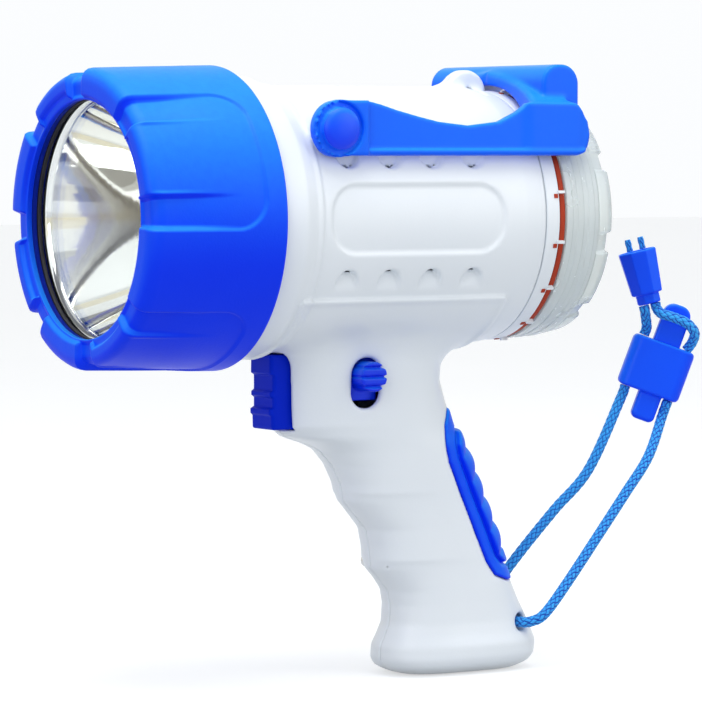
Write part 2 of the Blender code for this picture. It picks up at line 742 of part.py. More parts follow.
def grip_ring(z, outward=0, rear_inset=0, sides=GRIP_SIDES):
    front, rear, half = between(GRIP_STATIONS, z)
    front = front - outward
    rear = rear + outward - rear_inset
    half = half + outward
    middle = (front + rear) / 2
    reach = (rear - front) / 2
    power = 2 / GRIP_SQUARENESS
    ring = []
    for i in range(sides):
        a = 2 * math.pi * i / sides
        c = math.cos(a)
        s = math.sin(a)
        x = middle + reach * math.copysign(abs(c) ** power, c)
        y = half * math.copysign(abs(s) ** power, s)
        ring.append((x, y, z))
    return ring


def levels(top, bottom, count):
    return [top + (bottom - top) * i / count for i in range(count + 1)]


def smooth_route(points, step, count_per_leg=12):
    """A curve through the points, read at even steps along its length."""
    pts = [Vector(p) for p in points]
    pts = [2 * pts[0] - pts[1]] + pts + [2 * pts[-1] - pts[-2]]
    fine = []
    for a, b, c, d in zip(pts, pts[1:], pts[2:], pts[3:]):
        for i in range(count_per_leg):
            t = i / count_per_leg
            fine.append((2 * b + (c - a) * t + (2 * a - 5 * b + 4 * c - d) * t * t
                         + (3 * b - a - 3 * c + d) * t ** 3) / 2)
    fine.append(pts[-2])
    lengths = [0]
    for a, b in zip(fine, fine[1:]):
        lengths.append(lengths[-1] + (b - a).length)
    runs = max(2, round(lengths[-1] / step))
    route = []
    k = 0
    for i in range(runs + 1):
        want = lengths[-1] * i / runs
        while k < len(fine) - 2 and lengths[k + 1] < want:
            k += 1
        share = (want - lengths[k]) / (lengths[k + 1] - lengths[k])
        route.append(fine[k].lerp(fine[k + 1], min(1, share)))
    return route


def tube(name, points, radius, resolution=2):
    curve = bpy.data.curves.new(name, "CURVE")
    curve.dimensions = "3D"
    curve.bevel_depth = radius
    curve.bevel_resolution = resolution
    curve.use_fill_caps = True
    line = curve.splines.new("POLY")
    line.points.add(len(points) - 1)
    for point, place_at in zip(line.points, points):
        point.co = (*place_at, 1)
    helper = place(bpy.data.objects.new(name, curve), CUTTERS)
    helper.parent = None
    return solid(name, baked(helper))


def coil(name, start, direction, length, radius, wire, turns):
    """A round spring along a direction from a starting point."""
    direction = Vector(direction).normalized()
    side = direction.orthogonal().normalized()
    other = direction.cross(side)
    count = int(turns * 10)
    points = []
    for i in range(count + 1):
        a = 2 * math.pi * turns * i / count
        along = wire + (length - 2 * wire) * i / count
        points.append(Vector(start) + direction * along + (side * math.cos(a) + other * math.sin(a)) * radius)
    return tube(name, points, wire, 1)


# Materials
WHITE_SHELL = material("white_shell", WHITE, 0.42)
BLUE_RUBBER = material("blue_rubber", BLUE, 0.55)
BLUE_PLASTIC = material("blue_plastic", BLUE, 0.38)
BLUE_LOCK = material("blue_lock_plastic", DEEP_BLUE, 0.40)
BLUE_CORD = material("blue_braid", CORD_BLUE, 0.80)
CLEAR_CAP = material("clear_plastic", CLEAR, 0.25, transmission=0.4)
LENS_CLEAR = material("lens_plastic", CLEAR, 0.03, transmission=0.95)
RED_SEAL = material("red_silicone", SEAL_RED, 0.60)
MIRROR_CHROME = material("reflector_chrome", CHROME, 0.04, metallic=1.0)
BLACK_RUBBER = material("black_rubber", BLACK, 0.70)
BLACK_PLASTIC = material("black_plastic", BLACK, 0.45)
STEEL_PLATED = material("plated_steel", STEEL, 0.30, metallic=1.0)
HEAT_ALUMINIUM = material("aluminium", ALUMINIUM, 0.40, metallic=1.0)
GREEN_BOARD = material("circuit_board", BOARD_GREEN, 0.50)
LED_PHOSPHOR = material("led_phosphor", PHOSPHOR, 0.30)
CELL_WRAP = material("cell_sleeve", CELL_SLEEVE, 0.35)
WIRE_SLEEVE = material("wire_sleeve", SEAL_RED, 0.50)
BRASS_CONTACT = material("brass_contact", BRASS, 0.35, metallic=1.0)


def barrel_outside():
    profile = [
        (0, BARREL_REAR_X), (BARREL_REAR_RADIUS, BARREL_REAR_X), (BARREL_RADIUS, BARREL_WAIST_X),
        (BARREL_RADIUS, RIDGE_X + SLACK), (RIDGE_RADIUS, RIDGE_X - SLACK), (FLARE_RADIUS - SLACK, FLARE_END_X),
        (FLARE_RADIUS, GAP), (SPIGOT_RADIUS, GAP), (SPIGOT_RADIUS, SPIGOT_FRONT_X), (0, SPIGOT_FRONT_X),
    ]
    return turned("housing_outside", profile, cutter=True)


def ledge_skin():
    """Thicker skin on the lower part of the barrel, which ends in a ledge."""
    radius = BARREL_RADIUS + LEDGE_STEP
    profile = [(0, LEDGE_REAR_X), (radius, LEDGE_REAR_X), (radius, LEDGE_FRONT_X), (0, LEDGE_FRONT_X)]
    skin = turned("ledge_skin", profile, cutter=True)
    half = BARREL_RADIUS + OVERRUN
    return cut(skin, [box("above_ledge", (0, AXIS_HEIGHT), (-half, half), (LEDGE_Z, half), cutter=True)])


def grip_outside():
    return loft("grip_outside", [grip_ring(row[0]) for row in GRIP_STATIONS], cutter=True)


def pivot_boss(side, name):
    length = (BARREL_RADIUS / 2, ARM_INNER_Y - GAP)
    start, end = sorted(side * v for v in length)
    return rod(name, PIVOT_BOSS_RADIUS, start, end, "Y", (PIVOT_X, 0, PIVOT_Z), cutter=True)


def ear():
    foot_z = EAR_FOOT_Z - OVERRUN
    outline = arc((EAR_X, EAR_Z), EAR_RADIUS, 14, 150, 12)
    outline += [(EAR_FOOT_FRONT_X, EAR_FOOT_Z), (EAR_FOOT_FRONT_X, foot_z), (EAR_HEEL_X, foot_z),
                (EAR_HEEL_X, EAR_HEEL_Z)]
    return plate("ear", outline, "Y", -EAR_HALF_THICKNESS, EAR_HALF_THICKNESS, cutter=True)


def inner_posts():
    """Screw bosses and the eyelet tube, trimmed to the grip's wall."""
    half = BARREL_RADIUS
    posts = []
    for i, (x, z) in enumerate(on_grip(SCREW_SHARES)):
        posts.append(rod(f"screw_post_{i}", SCREW_BOSS_RADIUS, -half, half, "Y", (x, 0, z), cutter=True))
    at = (EYELET_X, 0, EYELET_Z)
    posts.append(rod("eyelet_post", EYELET_BOSS_RADIUS, -half, half, "Y", at, cutter=True))
    trim = loft("post_trim", [grip_ring(row[0], -WALL / 2) for row in GRIP_STATIONS], cutter=True)
    return [kept(post, [trim]) for post in posts]


def board_rails():
    """A slotted rail on each flank of the barrel, which holds one edge of the driver board."""
    rails = []
    reach = BARREL_RADIUS - WALL / 2
    inner = BOARD_HALF_WIDTH - RAIL_REACH
    for side in (-1, 1):
        ys = sorted((side * inner, side * reach))
        for name, low in (("under", BOARD_Z - GAP - RAIL_THICK), ("over", BOARD_Z + BOARD_THICK + GAP)):
            rails.append(box(f"board_rail_{name}_{side}", (BOARD_FRONT_X, BOARD_REAR_X), ys,
                             (low, low + RAIL_THICK), cutter=True))
    return rails


def cavities():
    start = SPIGOT_FRONT_X - OVERRUN
    end = BARREL_REAR_X + OVERRUN
    bore = SPIGOT_RADIUS - WALL
    barrel = turned("barrel_cavity", [(0, end), (bore, end), (bore, start), (0, start)], cutter=True)
    rings = [grip_ring(z, -WALL, CAVITY_REAR_INSET, CAVITY_SIDES)
             for z in levels(CAVITY_TOP_Z, CAVITY_FLOOR_Z, CAVITY_STEPS)]
    return [barrel, loft("grip_cavity", rings, cutter=True)]


def strap_pocket():
    """Recess for the rubber backstrap, wrapped round the rear of the grip."""
    half = BARREL_RADIUS
    outline = grown(on_grip(STRAP_OUTLINE_SHARES), GAP)
    pocket = plate("strap_pocket", outline, "Y", -half, half, cutter=True)
    core = loft("strap_core", [grip_ring(row[0], -STRAP_DEPTH - GAP) for row in GRIP_STATIONS], cutter=True)
    return cut(pocket, [core])


def face_marks():
    """Side panels and scallops, cut shallow into both flanks of the barrel."""
    marks = []
    middle = (PANEL_FRONT_X + PANEL_REAR_X) / 2
    outline = stadium((middle, 0), (PANEL_REAR_X - PANEL_FRONT_X) / 2, PANEL_HALF_HEIGHT, PANEL_CORNER, 3)
    depth = BARREL_RADIUS - PANEL_DEPTH
    far = BARREL_RADIUS + OVERRUN
    for side in (-1, 1):
        start, end = sorted((side * BARREL_RADIUS / 2, side * far))
        panel = plate(f"panel_{side}", outline, "Y", start, end, cutter=True)
        floor = turned(f"panel_floor_{side}", [(0, PANEL_REAR_X + OVERRUN), (depth, PANEL_REAR_X + OVERRUN),
                                               (depth, PANEL_FRONT_X - OVERRUN), (0, PANEL_FRONT_X - OVERRUN)],
                       cutter=True)
        marks.append(cut(panel, [floor]))
        for i in range(SCALLOP_COUNT):
            x = SCALLOP_START_X + SCALLOP_PITCH * i
            for z in (SCALLOP_Z, -SCALLOP_Z):
                start, end = sorted((side * SCALLOP_FLOOR_Y, side * far))
                marks.append(rod(f"scallop_{side}_{i}_{z > 0}", SCALLOP_RADIUS, start, end, "Y", (x, 0, z), 12,
                                 cutter=True))
    return marks


def housing_holes():
    far = BARREL_RADIUS + OVERRUN
    holes = []
    half = TRIGGER_HALF_WIDTH + GAP
    holes.append(box("trigger_slot", (TRIGGER_FRONT_X, TRIGGER_REAR_X), (-half, half),
                     (TRIGGER_BOTTOM_Z - GAP, TRIGGER_TOP_Z + GAP), cutter=True))
    slot = stadium((SLOT_X, SLOT_TOP_Z - SLOT_HEIGHT / 2), SLOT_HALF_WIDTH, SLOT_HEIGHT / 2,
                   SLOT_HALF_WIDTH - SLACK, 5)
    holes.append(plate("slide_slot", slot, "Y", -far, SLIDE_PLATE_Y, cutter=True))
    eyelet = (EYELET_X, 0, EYELET_Z)
    holes.append(rod("eyelet", EYELET_RADIUS, -far, far, "Y", eyelet, cutter=True))
    ear_at = (EAR_X, 0, EAR_Z)
    holes.append(rod("ear_hole", EAR_HOLE_RADIUS, -far, far, "Y", ear_at, 12, cutter=True))
    for side in (-1, 1):
        start, end = sorted((side * PIN_INNER_Y, side * far))
        holes.append(rod(f"pin_hole_{side}", PIN_RADIUS + GAP, start, end, "Y", (PIVOT_X, 0, PIVOT_Z),
                         SCREW_STEPS, cutter=True))
    for i, (x, z) in enumerate(on_grip(SCREW_SHARES)):
        profile = [(0, far), (SCREW_HEAD_RADIUS + GAP, far), (SCREW_HEAD_RADIUS + GAP, SCREW_HEAD_Y),
                   (SCREW_SHANK_RADIUS + GAP, SCREW_HEAD_Y), (SCREW_SHANK_RADIUS + GAP, SCREW_TIP_Y - GAP),
                   (0, SCREW_TIP_Y - GAP)]
        holes.append(turned(f"screw_hole_{i}", profile, "Y", (x, 0, z), SCREW_STEPS, cutter=True))
    return holes


def housing_halves():
    shell = barrel_outside()
    joined(shell, [ledge_skin(), grip_outside(), pivot_boss(-1, "pivot_boss_near"),
                   pivot_boss(1, "pivot_boss_far"), ear()])
    cut(shell, face_marks())
    cut(shell, cavities())
    joined(shell, inner_posts() + board_rails())
    cut(shell, [strap_pocket()] + housing_holes())
    reach = AXIS_HEIGHT
    for name, side in (("housing_near", -1), ("housing_far", 1)):
        ys = sorted((side * GAP / 2, side * reach))
        half = box(name, (-reach, reach), ys, (-AXIS_HEIGHT - OVERRUN, reach))
        kept(half, [shell])
        paint(half, WHITE_SHELL)


def bezel():
    """Rubber ring with grooves round it and a notched front lip."""
    wall = BEZEL_GROOVE_WALL
    groove = (BEZEL_PERIOD - BEZEL_WIDE_LAND - BEZEL_NARROW_PAD) / 2
    spots = []
    for k in range(4):
        at = BEZEL_GROOVE_START + k * BEZEL_PERIOD
        for start, land in ((at, BEZEL_NARROW_PAD), (at + groove + BEZEL_NARROW_PAD, BEZEL_WIDE_LAND)):
            spots += [(start, 0), (start + wall, 1), (start + groove / 2, 1), (start + groove - wall, 1)]
            spots += [(start + groove + land * i / 4, 0) for i in range(4)]
    bore = HEAD_RING_RADIUS + GAP
    rings = []
    for angle, deep in spots:
        dip = BEZEL_GROOVE_DEPTH * deep
        rear = BEZEL_REAR_RADIUS
        front = BEZEL_FRONT_RADIUS
        share = (BEZEL_GROOVE_REAR_X - BEZEL_WAIST_X) / -BEZEL_WAIST_X
        at_groove = front + (rear - front) * share
        profile = [
            (0, bore), (0, rear - SLACK), (-SLACK, rear), (BEZEL_GROOVE_REAR_X, at_groove),
            (BEZEL_GROOVE_REAR_X - OVERRUN, at_groove - dip), (BEZEL_WAIST_X, front - dip),
            (BEZEL_NOSE_X + BEZEL_NOTCH_DEPTH * deep, BEZEL_NOSE_RADIUS),
            (BEZEL_NOSE_X + BEZEL_NOTCH_DEPTH * deep, BEZEL_NOSE_RADIUS - OVERRUN),
            (BEZEL_MOUTH_X + SLACK * deep, BEZEL_MOUTH_RADIUS + SLACK),
            (BEZEL_LIP_X, BEZEL_MOUTH_RADIUS), (BEZEL_LIP_X, HEAD_RING_NOSE_RADIUS + GAP),
            (HEAD_RING_SHOULDER_X - GAP, bore),
        ]
        rings.append([(x, -r * math.cos(angle), r * math.sin(angle)) for x, r in profile])
    paint(loft("bezel", rings, closed=True), BLUE_RUBBER)


def head_parts():
    """Carrier ring, gasket, lens and reflector, stacked behind the bezel's lip."""
    lip = HEAD_RING_FRONT_X + HEAD_RING_LIP
    ring = [(HEAD_RING_RADIUS, -SLACK), (HEAD_RING_RADIUS, HEAD_RING_SHOULDER_X),
            (HEAD_RING_NOSE_RADIUS, HEAD_RING_FRONT_X), (HEAD_RING_LIP_RADIUS, HEAD_RING_FRONT_X),
            (HEAD_RING_LIP_RADIUS, lip), (LENS_SEAT_RADIUS, lip), (LENS_SEAT_RADIUS, LENS_SEAT_X),
            (HEAD_RING_BORE, LENS_SEAT_X), (HEAD_RING_BORE, -SLACK)]
    paint(turned("head_ring", ring, ring=True), BLACK_PLASTIC)
    edge = LENS_SEAT_RADIUS - GAP
    start = lip + GAP
    end = start + GASKET_THICK
    paint(turned("lens_gasket", [(edge, start), (edge, end), (GASKET_BORE, end), (GASKET_BORE, start)],
                 ring=True), BLACK_RUBBER)
    start = end + GAP
    end = start + LENS_THICK
    paint(turned("lens", [(0, end), (edge, end), (edge, start), (0, start)]), LENS_CLEAR)
    mouth = end + GAP
    focal = (REFLECTOR_MOUTH_RADIUS ** 2 - REFLECTOR_THROAT_RADIUS ** 2) / REFLECTOR_DEPTH
    inner = []
    for i in range(REFLECTOR_STEPS + 1):
        share = (i / REFLECTOR_STEPS) ** 2
        x = mouth + REFLECTOR_DEPTH * (1 - share)
        radius = math.sqrt(REFLECTOR_THROAT_RADIUS ** 2 + focal * (mouth + REFLECTOR_DEPTH - x))
        inner.append((radius, x))
    outer = [(r + REFLECTOR_THICK, x) for r, x in inner if x > mouth + REFLECTOR_THICK]
    flange = [(edge, mouth), (edge, mouth + REFLECTOR_THICK), (outer[-1][0], mouth + REFLECTOR_THICK)]
    paint(turned("reflector", inner + flange + outer[::-1], steps=HIDDEN_STEPS, ring=True), MIRROR_CHROME)
    return mouth + REFLECTOR_DEPTH


def light_engine(rear_of_bowl):
    board = rear_of_bowl + GAP
    paint(rod("led_board", LED_BOARD_RADIUS, board, board + LED_BOARD_THICK, "X", (0, 0, 0)), HEAT_ALUMINIUM)
    base = board - GAP
    dome = [(0, base)] + [(EMITTER_RADIUS * math.cos(a), base - EMITTER_HEIGHT * math.sin(a))
                          for a in (0, math.pi / 6, math.pi / 3)] + [(0, base - EMITTER_HEIGHT)]
    paint(turned("led_emitter", dome, steps=SMALL_STEPS), LED_PHOSPHOR)
    disc = board + LED_BOARD_THICK + GAP
    edge = SPIGOT_RADIUS - WALL - GAP
    hub = disc + SINK_LENGTH
    profile = [(0, hub), (SINK_HUB_RADIUS, hub), (SINK_HUB_RADIUS, disc + SINK_DISC_THICK),
               (edge, disc + SINK_DISC_THICK), (edge, disc), (0, disc)]
    sink = turned("heat_sink", profile)
    ribs = []
    for i in range(SINK_RIBS):
        rib = box(f"sink_rib_{i}", (disc + SINK_DISC_THICK / 2, hub - SLACK), (-SINK_RIB_THICK / 2, SINK_RIB_THICK / 2),
                  (-SINK_RIB_RADIUS, SINK_RIB_RADIUS), cutter=True)
        rib.rotation_euler.x = math.pi * (i + HALF_SHARE) / SINK_RIBS
        ribs.append(rib)
    joined(sink, ribs)
    paint(sink, HEAT_ALUMINIUM)
    return hub


def electronics():
    half = BOARD_HALF_WIDTH
    top = BOARD_Z + BOARD_THICK
    paint(box("driver_board", (BOARD_FRONT_X, BOARD_REAR_X), (-half, half), (BOARD_Z, top)), GREEN_BOARD)
    middle = (BOARD_FRONT_X + BOARD_REAR_X) / 2
    start = top + GAP
    paint(rod("driver_capacitor", CAPACITOR_RADIUS, start, start + CAPACITOR_HEIGHT, "Z",
              (middle + BOARD_PART_OFFSET, -BOARD_PART_OFFSET, 0)), STEEL_PLATED)
    paint(rod("driver_coil", COIL_RADIUS, start, start + COIL_HEIGHT, "Z",
              (middle, BOARD_PART_OFFSET, 0)), BLACK_PLASTIC)


def wires(sink_rear, contact, up):
    """The lead from the board to the light source, and the one from the cells up to the board."""
    z = BOARD_Z + BOARD_THICK / 2
    start = Vector((BOARD_FRONT_X - GAP, LED_WIRE_Y, z))
    end = Vector((sink_rear + GAP, LED_WIRE_Y, z))
    middle = start.lerp(end, HALF_SHARE) - Vector((0, 0, LED_WIRE_SAG))
    square = Vector((WIRE_LEAD, 0, 0))
    route = [start] + smooth_route([start - square, middle, end + square], WIRE_STEP) + [end]
    paint(tube("led_wire", route, WIRE_RADIUS, 1), WIRE_SLEEVE)
    start = contact + up * GAP
    end = Vector((CELL_WIRE_ROUTE[-1][0], CELL_WIRE_ROUTE[-1][1], BOARD_Z - GAP))
    inner = [start + up * WIRE_LEAD] + [Vector(point) for point in CELL_WIRE_ROUTE] + [end - Vector((0, 0, WIRE_LEAD))]
    paint(tube("cell_wire", [start] + smooth_route(inner, WIRE_STEP) + [end], WIRE_RADIUS, 1), WIRE_SLEEVE)


def cells():
    """Two cells side by side along the leaning grip, with a contact strip at each end."""
    lean = Matrix.Rotation(-CELL_LEAN, 4, "Y")
    middle = Matrix.Translation((CELL_MIDDLE_X, 0, CELL_MIDDLE_Z)) @ lean
    half = CELL_LENGTH / 2
    for name, side in (("cell_front", -1), ("cell_rear", 1)):
        cell = rod(name, CELL_RADIUS, -half, half, "Z", (side * CELL_PITCH / 2, 0, 0), 24)
        cell.data.transform(middle)
        paint(cell, CELL_WRAP)
    reach = CELL_PITCH / 2 + CELL_RADIUS / 2
    for name, side in (("contact_top", 1), ("contact_bottom", -1)):
        zs = sorted((side * (half + GAP), side * (half + GAP + CONTACT_THICK)))
        strip = box(name, (-reach, reach), (-CONTACT_HALF_WIDTH, CONTACT_HALF_WIDTH), zs)
        strip.data.transform(middle)
        paint(strip, BRASS_CONTACT)
    tab = middle @ Vector((-CELL_PITCH / 2, 0, half + GAP + CONTACT_THICK))
    return tab, lean.to_3x3() @ Vector((0, 0, 1))


def trigger_parts():
    front = TRIGGER_FRONT_X
    nose_bottom = TRIGGER_BOTTOM_Z
    rib = (TRIGGER_TOP_Z - TRIGGER_BOTTOM_Z) / (TRIGGER_RIBS + 1)
    outline = [(TRIGGER_REAR_X, TRIGGER_TOP_Z), (front, TRIGGER_TOP_Z)]
    for i in range(TRIGGER_RIBS + 1):
        z = TRIGGER_TOP_Z - rib * i
        outline += [(front + TRIGGER_RIB_DEPTH * dip, z - rib * down) for down, dip in TRIGGER_RIB_SHARES]
    outline += [(front + TRIGGER_RIB_DEPTH, nose_bottom), (TRIGGER_REAR_X, nose_bottom)]
    half = TRIGGER_HALF_WIDTH
    paint(plate("trigger", outline, "Y", -half, half, round_edge=SLACK), BLUE_PLASTIC)
    start = TRIGGER_REAR_X + GAP
    length = SWITCH_FRONT_X - GAP - start
    paint(coil("trigger_spring", (start, 0, SPRING_Z), (1, 0, 0), length, SPRING_RADIUS, SPRING_WIRE, SPRING_TURNS),
          STEEL_PLATED)
    half = SWITCH_HALF_WIDTH
    zs = (SPRING_Z - SWITCH_HALF_HEIGHT, SPRING_Z + SWITCH_HALF_HEIGHT)
    paint(box("trigger_switch", (SWITCH_FRONT_X, SWITCH_FRONT_X + SWITCH_LENGTH), (-half, half), zs), BLACK_PLASTIC)


def lock_slide():
    outer = -max(half for z, front, rear, half in GRIP_STATIONS if z < TRIGGER_TOP_Z) - KNOB_PROUD
    plate_rear = SLIDE_PLATE_Y
    plate_front = plate_rear - SLIDE_PLATE_THICK
    slide = box("lock_slider", (SLOT_X - SLIDE_PLATE_HALF_WIDTH, SLOT_X + SLIDE_PLATE_HALF_WIDTH),
                (plate_front, plate_rear), (KNOB_Z - SLIDE_PLATE_HALF_HEIGHT, KNOB_Z + SLIDE_PLATE_HALF_HEIGHT))
    knob = rod("slider_knob", KNOB_RADIUS, outer, plate_rear - SLACK, "Y", (SLOT_X, 0, KNOB_Z), 24, cutter=True)
    joined(slide, [knob])
    pitch = 2 * KNOB_RADIUS / KNOB_RIDGES
    grooves = []
    groove = pitch * KNOB_GROOVE_SHARE
    for i in range(1, KNOB_RIDGES):
        z = KNOB_Z - KNOB_RADIUS + pitch * i
        grooves.append(box(f"knob_groove_{i}", (SLOT_X - KNOB_RADIUS * 2, SLOT_X + KNOB_RADIUS * 2),
                           (outer - OVERRUN, outer + KNOB_RIDGE_DEPTH), (z - groove, z + groove), cutter=True))
    cut(slide, grooves)
    paint(slide, BLUE_PLASTIC)
    start = plate_rear + GAP
    z = SLOT_TOP_Z - SLOT_HEIGHT / 2
    paint(box("slide_switch", (SLOT_X - SLIDE_SWITCH_HALF_WIDTH, SLOT_X + SLIDE_SWITCH_HALF_WIDTH),
              (start, start + SLIDE_SWITCH_DEPTH), (z - SLIDE_SWITCH_HALF_HEIGHT, z + SLIDE_SWITCH_HALF_HEIGHT)),
          BLACK_PLASTIC)


def backstrap():
    """Rubber skin round the rear of the grip with a raised, ridged pad."""
    half = BARREL_RADIUS
    zs = [row[0] for row in GRIP_STATIONS]
    strap = plate("backstrap", on_grip(STRAP_OUTLINE_SHARES), "Y", -half, half)
    skin = loft("strap_skin", [grip_ring(z, STRAP_PROUD) for z in zs], cutter=True)
    core = loft("strap_hollow", [grip_ring(z, -STRAP_DEPTH) for z in zs], cutter=True)
    kept(strap, [skin])
    pad_outline = on_grip(STRAP_PAD_SHARES)
    pad = plate("strap_pad", pad_outline, "Y", -half, half, cutter=True)
    top = pad_outline[0][1]
    bottom = pad_outline[-2][1]
    rings = []
    for z in levels(top + OVERRUN, bottom - OVERRUN, STRAP_LEVELS):
        share = (top - z) / (top - bottom)
        wave = abs(math.sin(math.pi * STRAP_RIDGES * share))
        rings.append(grip_ring(z, STRAP_PAD_PROUD + STRAP_RIDGE_DEPTH * (wave - 1)))
    kept(pad, [loft("pad_skin", rings, cutter=True)])
    joined(strap, [pad])
    cut(strap, [core])
    paint(strap, BLUE_RUBBER)


def handle():
    """Folding carry handle: two arms, a crossbar and a curved web between them."""
    head_top = PIVOT_Z + ARM_HEAD_RADIUS
    arm_outline = arc((PIVOT_X, PIVOT_Z), ARM_HEAD_RADIUS, 270, 90, 12)
    arm_outline += [(ARM_BLOCK_X, head_top)]
    arm_outline += [(PIVOT_X + ARM_LENGTH * along, ARM_BOTTOM_Z + ARM_HEIGHT * up) for along, up in ARM_TOP_SHARES]
    arm_outline += [(ARM_END_X - ARM_END_HEIGHT * short, ARM_BOTTOM_Z + ARM_END_HEIGHT * up)
                    for short, up in ARM_END_SHARES]
    head_outline = arc((PIVOT_X, PIVOT_Z), ARM_HEAD_RADIUS, 270, 90, 12)
    head_outline += [(ARM_BLOCK_X, head_top), (ARM_BLOCK_X, ARM_BOTTOM_Z)]
    flange_end = ARM_END_X - ARM_FLANGE_SETBACK
    flange = [(PIVOT_X, ARM_BOTTOM_Z), (PIVOT_X, ARM_BOTTOM_Z + ARM_FLANGE_HEIGHT),
              (flange_end, ARM_BOTTOM_Z + ARM_FLANGE_HEIGHT), (flange_end, ARM_BOTTOM_Z)]
    bodies = []
    cuts = []
    for side, tag in ((-1, "near"), (1, "far")):
        inner = side * ARM_INNER_Y
        web_y = side * (ARM_OUTER_Y - ARM_FLANGE_PROUD)
        block_y = side * (ARM_OUTER_Y + ARM_BLOCK_PROUD)
        bodies.append(plate(f"arm_{tag}", arm_outline, "Y", *sorted((inner, web_y)), cutter=True))
        bodies.append(plate(f"arm_head_{tag}", head_outline, "Y", *sorted((inner, block_y)), cutter=True))
        bodies.append(plate(f"arm_flange_{tag}", flange, "Y", *sorted((inner, side * ARM_OUTER_Y)), cutter=True))
        start, end = sorted((side * PIN_INNER_Y, side * (ARM_OUTER_Y + OVERRUN)))
        cuts.append(rod(f"arm_bore_{tag}", PIN_RADIUS + GAP, start, end, "Y", (PIVOT_X, 0, PIVOT_Z), SCREW_STEPS,
                        cutter=True))
    bar_outline = [(BAR_FRONT_X, BAR_BOTTOM_Z)]
    bar_outline += arc((BAR_FRONT_X + BAR_CORNER, BAR_TOP_Z - BAR_CORNER), BAR_CORNER, 180, 90, 5)
    bar_outline += arc((BAR_REAR_X - BAR_CORNER, BAR_TOP_Z - BAR_CORNER), BAR_CORNER, 90, 0, 5)
    bar_outline += [(BAR_REAR_X, BAR_BOTTOM_Z)]
    bar = plate("stand", bar_outline, "Y", -BAR_HALF_LENGTH, BAR_HALF_LENGTH)
    reach = ARM_OUTER_Y - ARM_FLANGE_PROUD - SLACK
    rise = WEB_TOP_Z - ARM_END_TOP_Z
    arch = [(reach * out, ARM_END_TOP_Z + rise * up) for out, up in WEB_ARCH_SHARES]
    web_outline = [(-reach, WEB_BOTTOM_Z), (-reach, ARM_END_TOP_Z - SLACK)]
    web_outline += [(-y, z) for y, z in reversed(arch)] + [(0, WEB_TOP_Z)] + arch
    web_outline += [(reach, ARM_END_TOP_Z - SLACK), (reach, WEB_BOTTOM_Z)]
    web = plate("web", web_outline, "X", WEB_FRONT_X, BAR_REAR_X - WEB_REAR_SETBACK, cutter=True)
    mouth = [(WEB_MOUTH_X + WEB_MOUTH_DEPTH * math.cos(a), WEB_MOUTH_HALF_WIDTH * math.sin(a))
             for a in (2 * math.pi * i / 32 for i in range(32))]
    mouth_cut = plate("web_mouth", mouth, "Z", 0, AXIS_HEIGHT, cutter=True)
    joined(bar, [web])
    cut(bar, [mouth_cut])
    clear = BARREL_RADIUS + SLACK
    cuts.append(turned("barrel_clearance", [(0, AXIS_HEIGHT), (clear, AXIS_HEIGHT), (clear, 0), (0, 0)], cutter=True))
    joined(bar, bodies)
    cut(bar, cuts)
    paint(bar, BLUE_PLASTIC)
    pivot_at(bar, (PIVOT_X, 0, PIVOT_Z))
    for side, tag in ((-1, "near"), (1, "far")):
        head = ARM_OUTER_Y + ARM_BLOCK_PROUD
        start, end = sorted((side * (PIN_INNER_Y + GAP), side * (head - GAP)))
        pin = rod(f"pivot_pin_{tag}", PIN_RADIUS, start, end, "Y", (PIVOT_X, 0, PIVOT_Z), SCREW_STEPS)
        paint(pin, STEEL_PLATED)
        base = head + GAP
        across, up = CAP_SHOULDER_SHARES
        dome = [(0, side * base), (CAP_RADIUS, side * base), (CAP_RADIUS, side * (base + CAP_DOME / 2)),
                (CAP_RADIUS * across, side * (base + CAP_DOME * up)), (0, side * (base + CAP_DOME))]
        cap = turned(f"pivot_cap_{tag}", dome, "Y", (PIVOT_X, 0, PIVOT_Z), SMALL_STEPS)
        paint(cap, BLUE_PLASTIC)


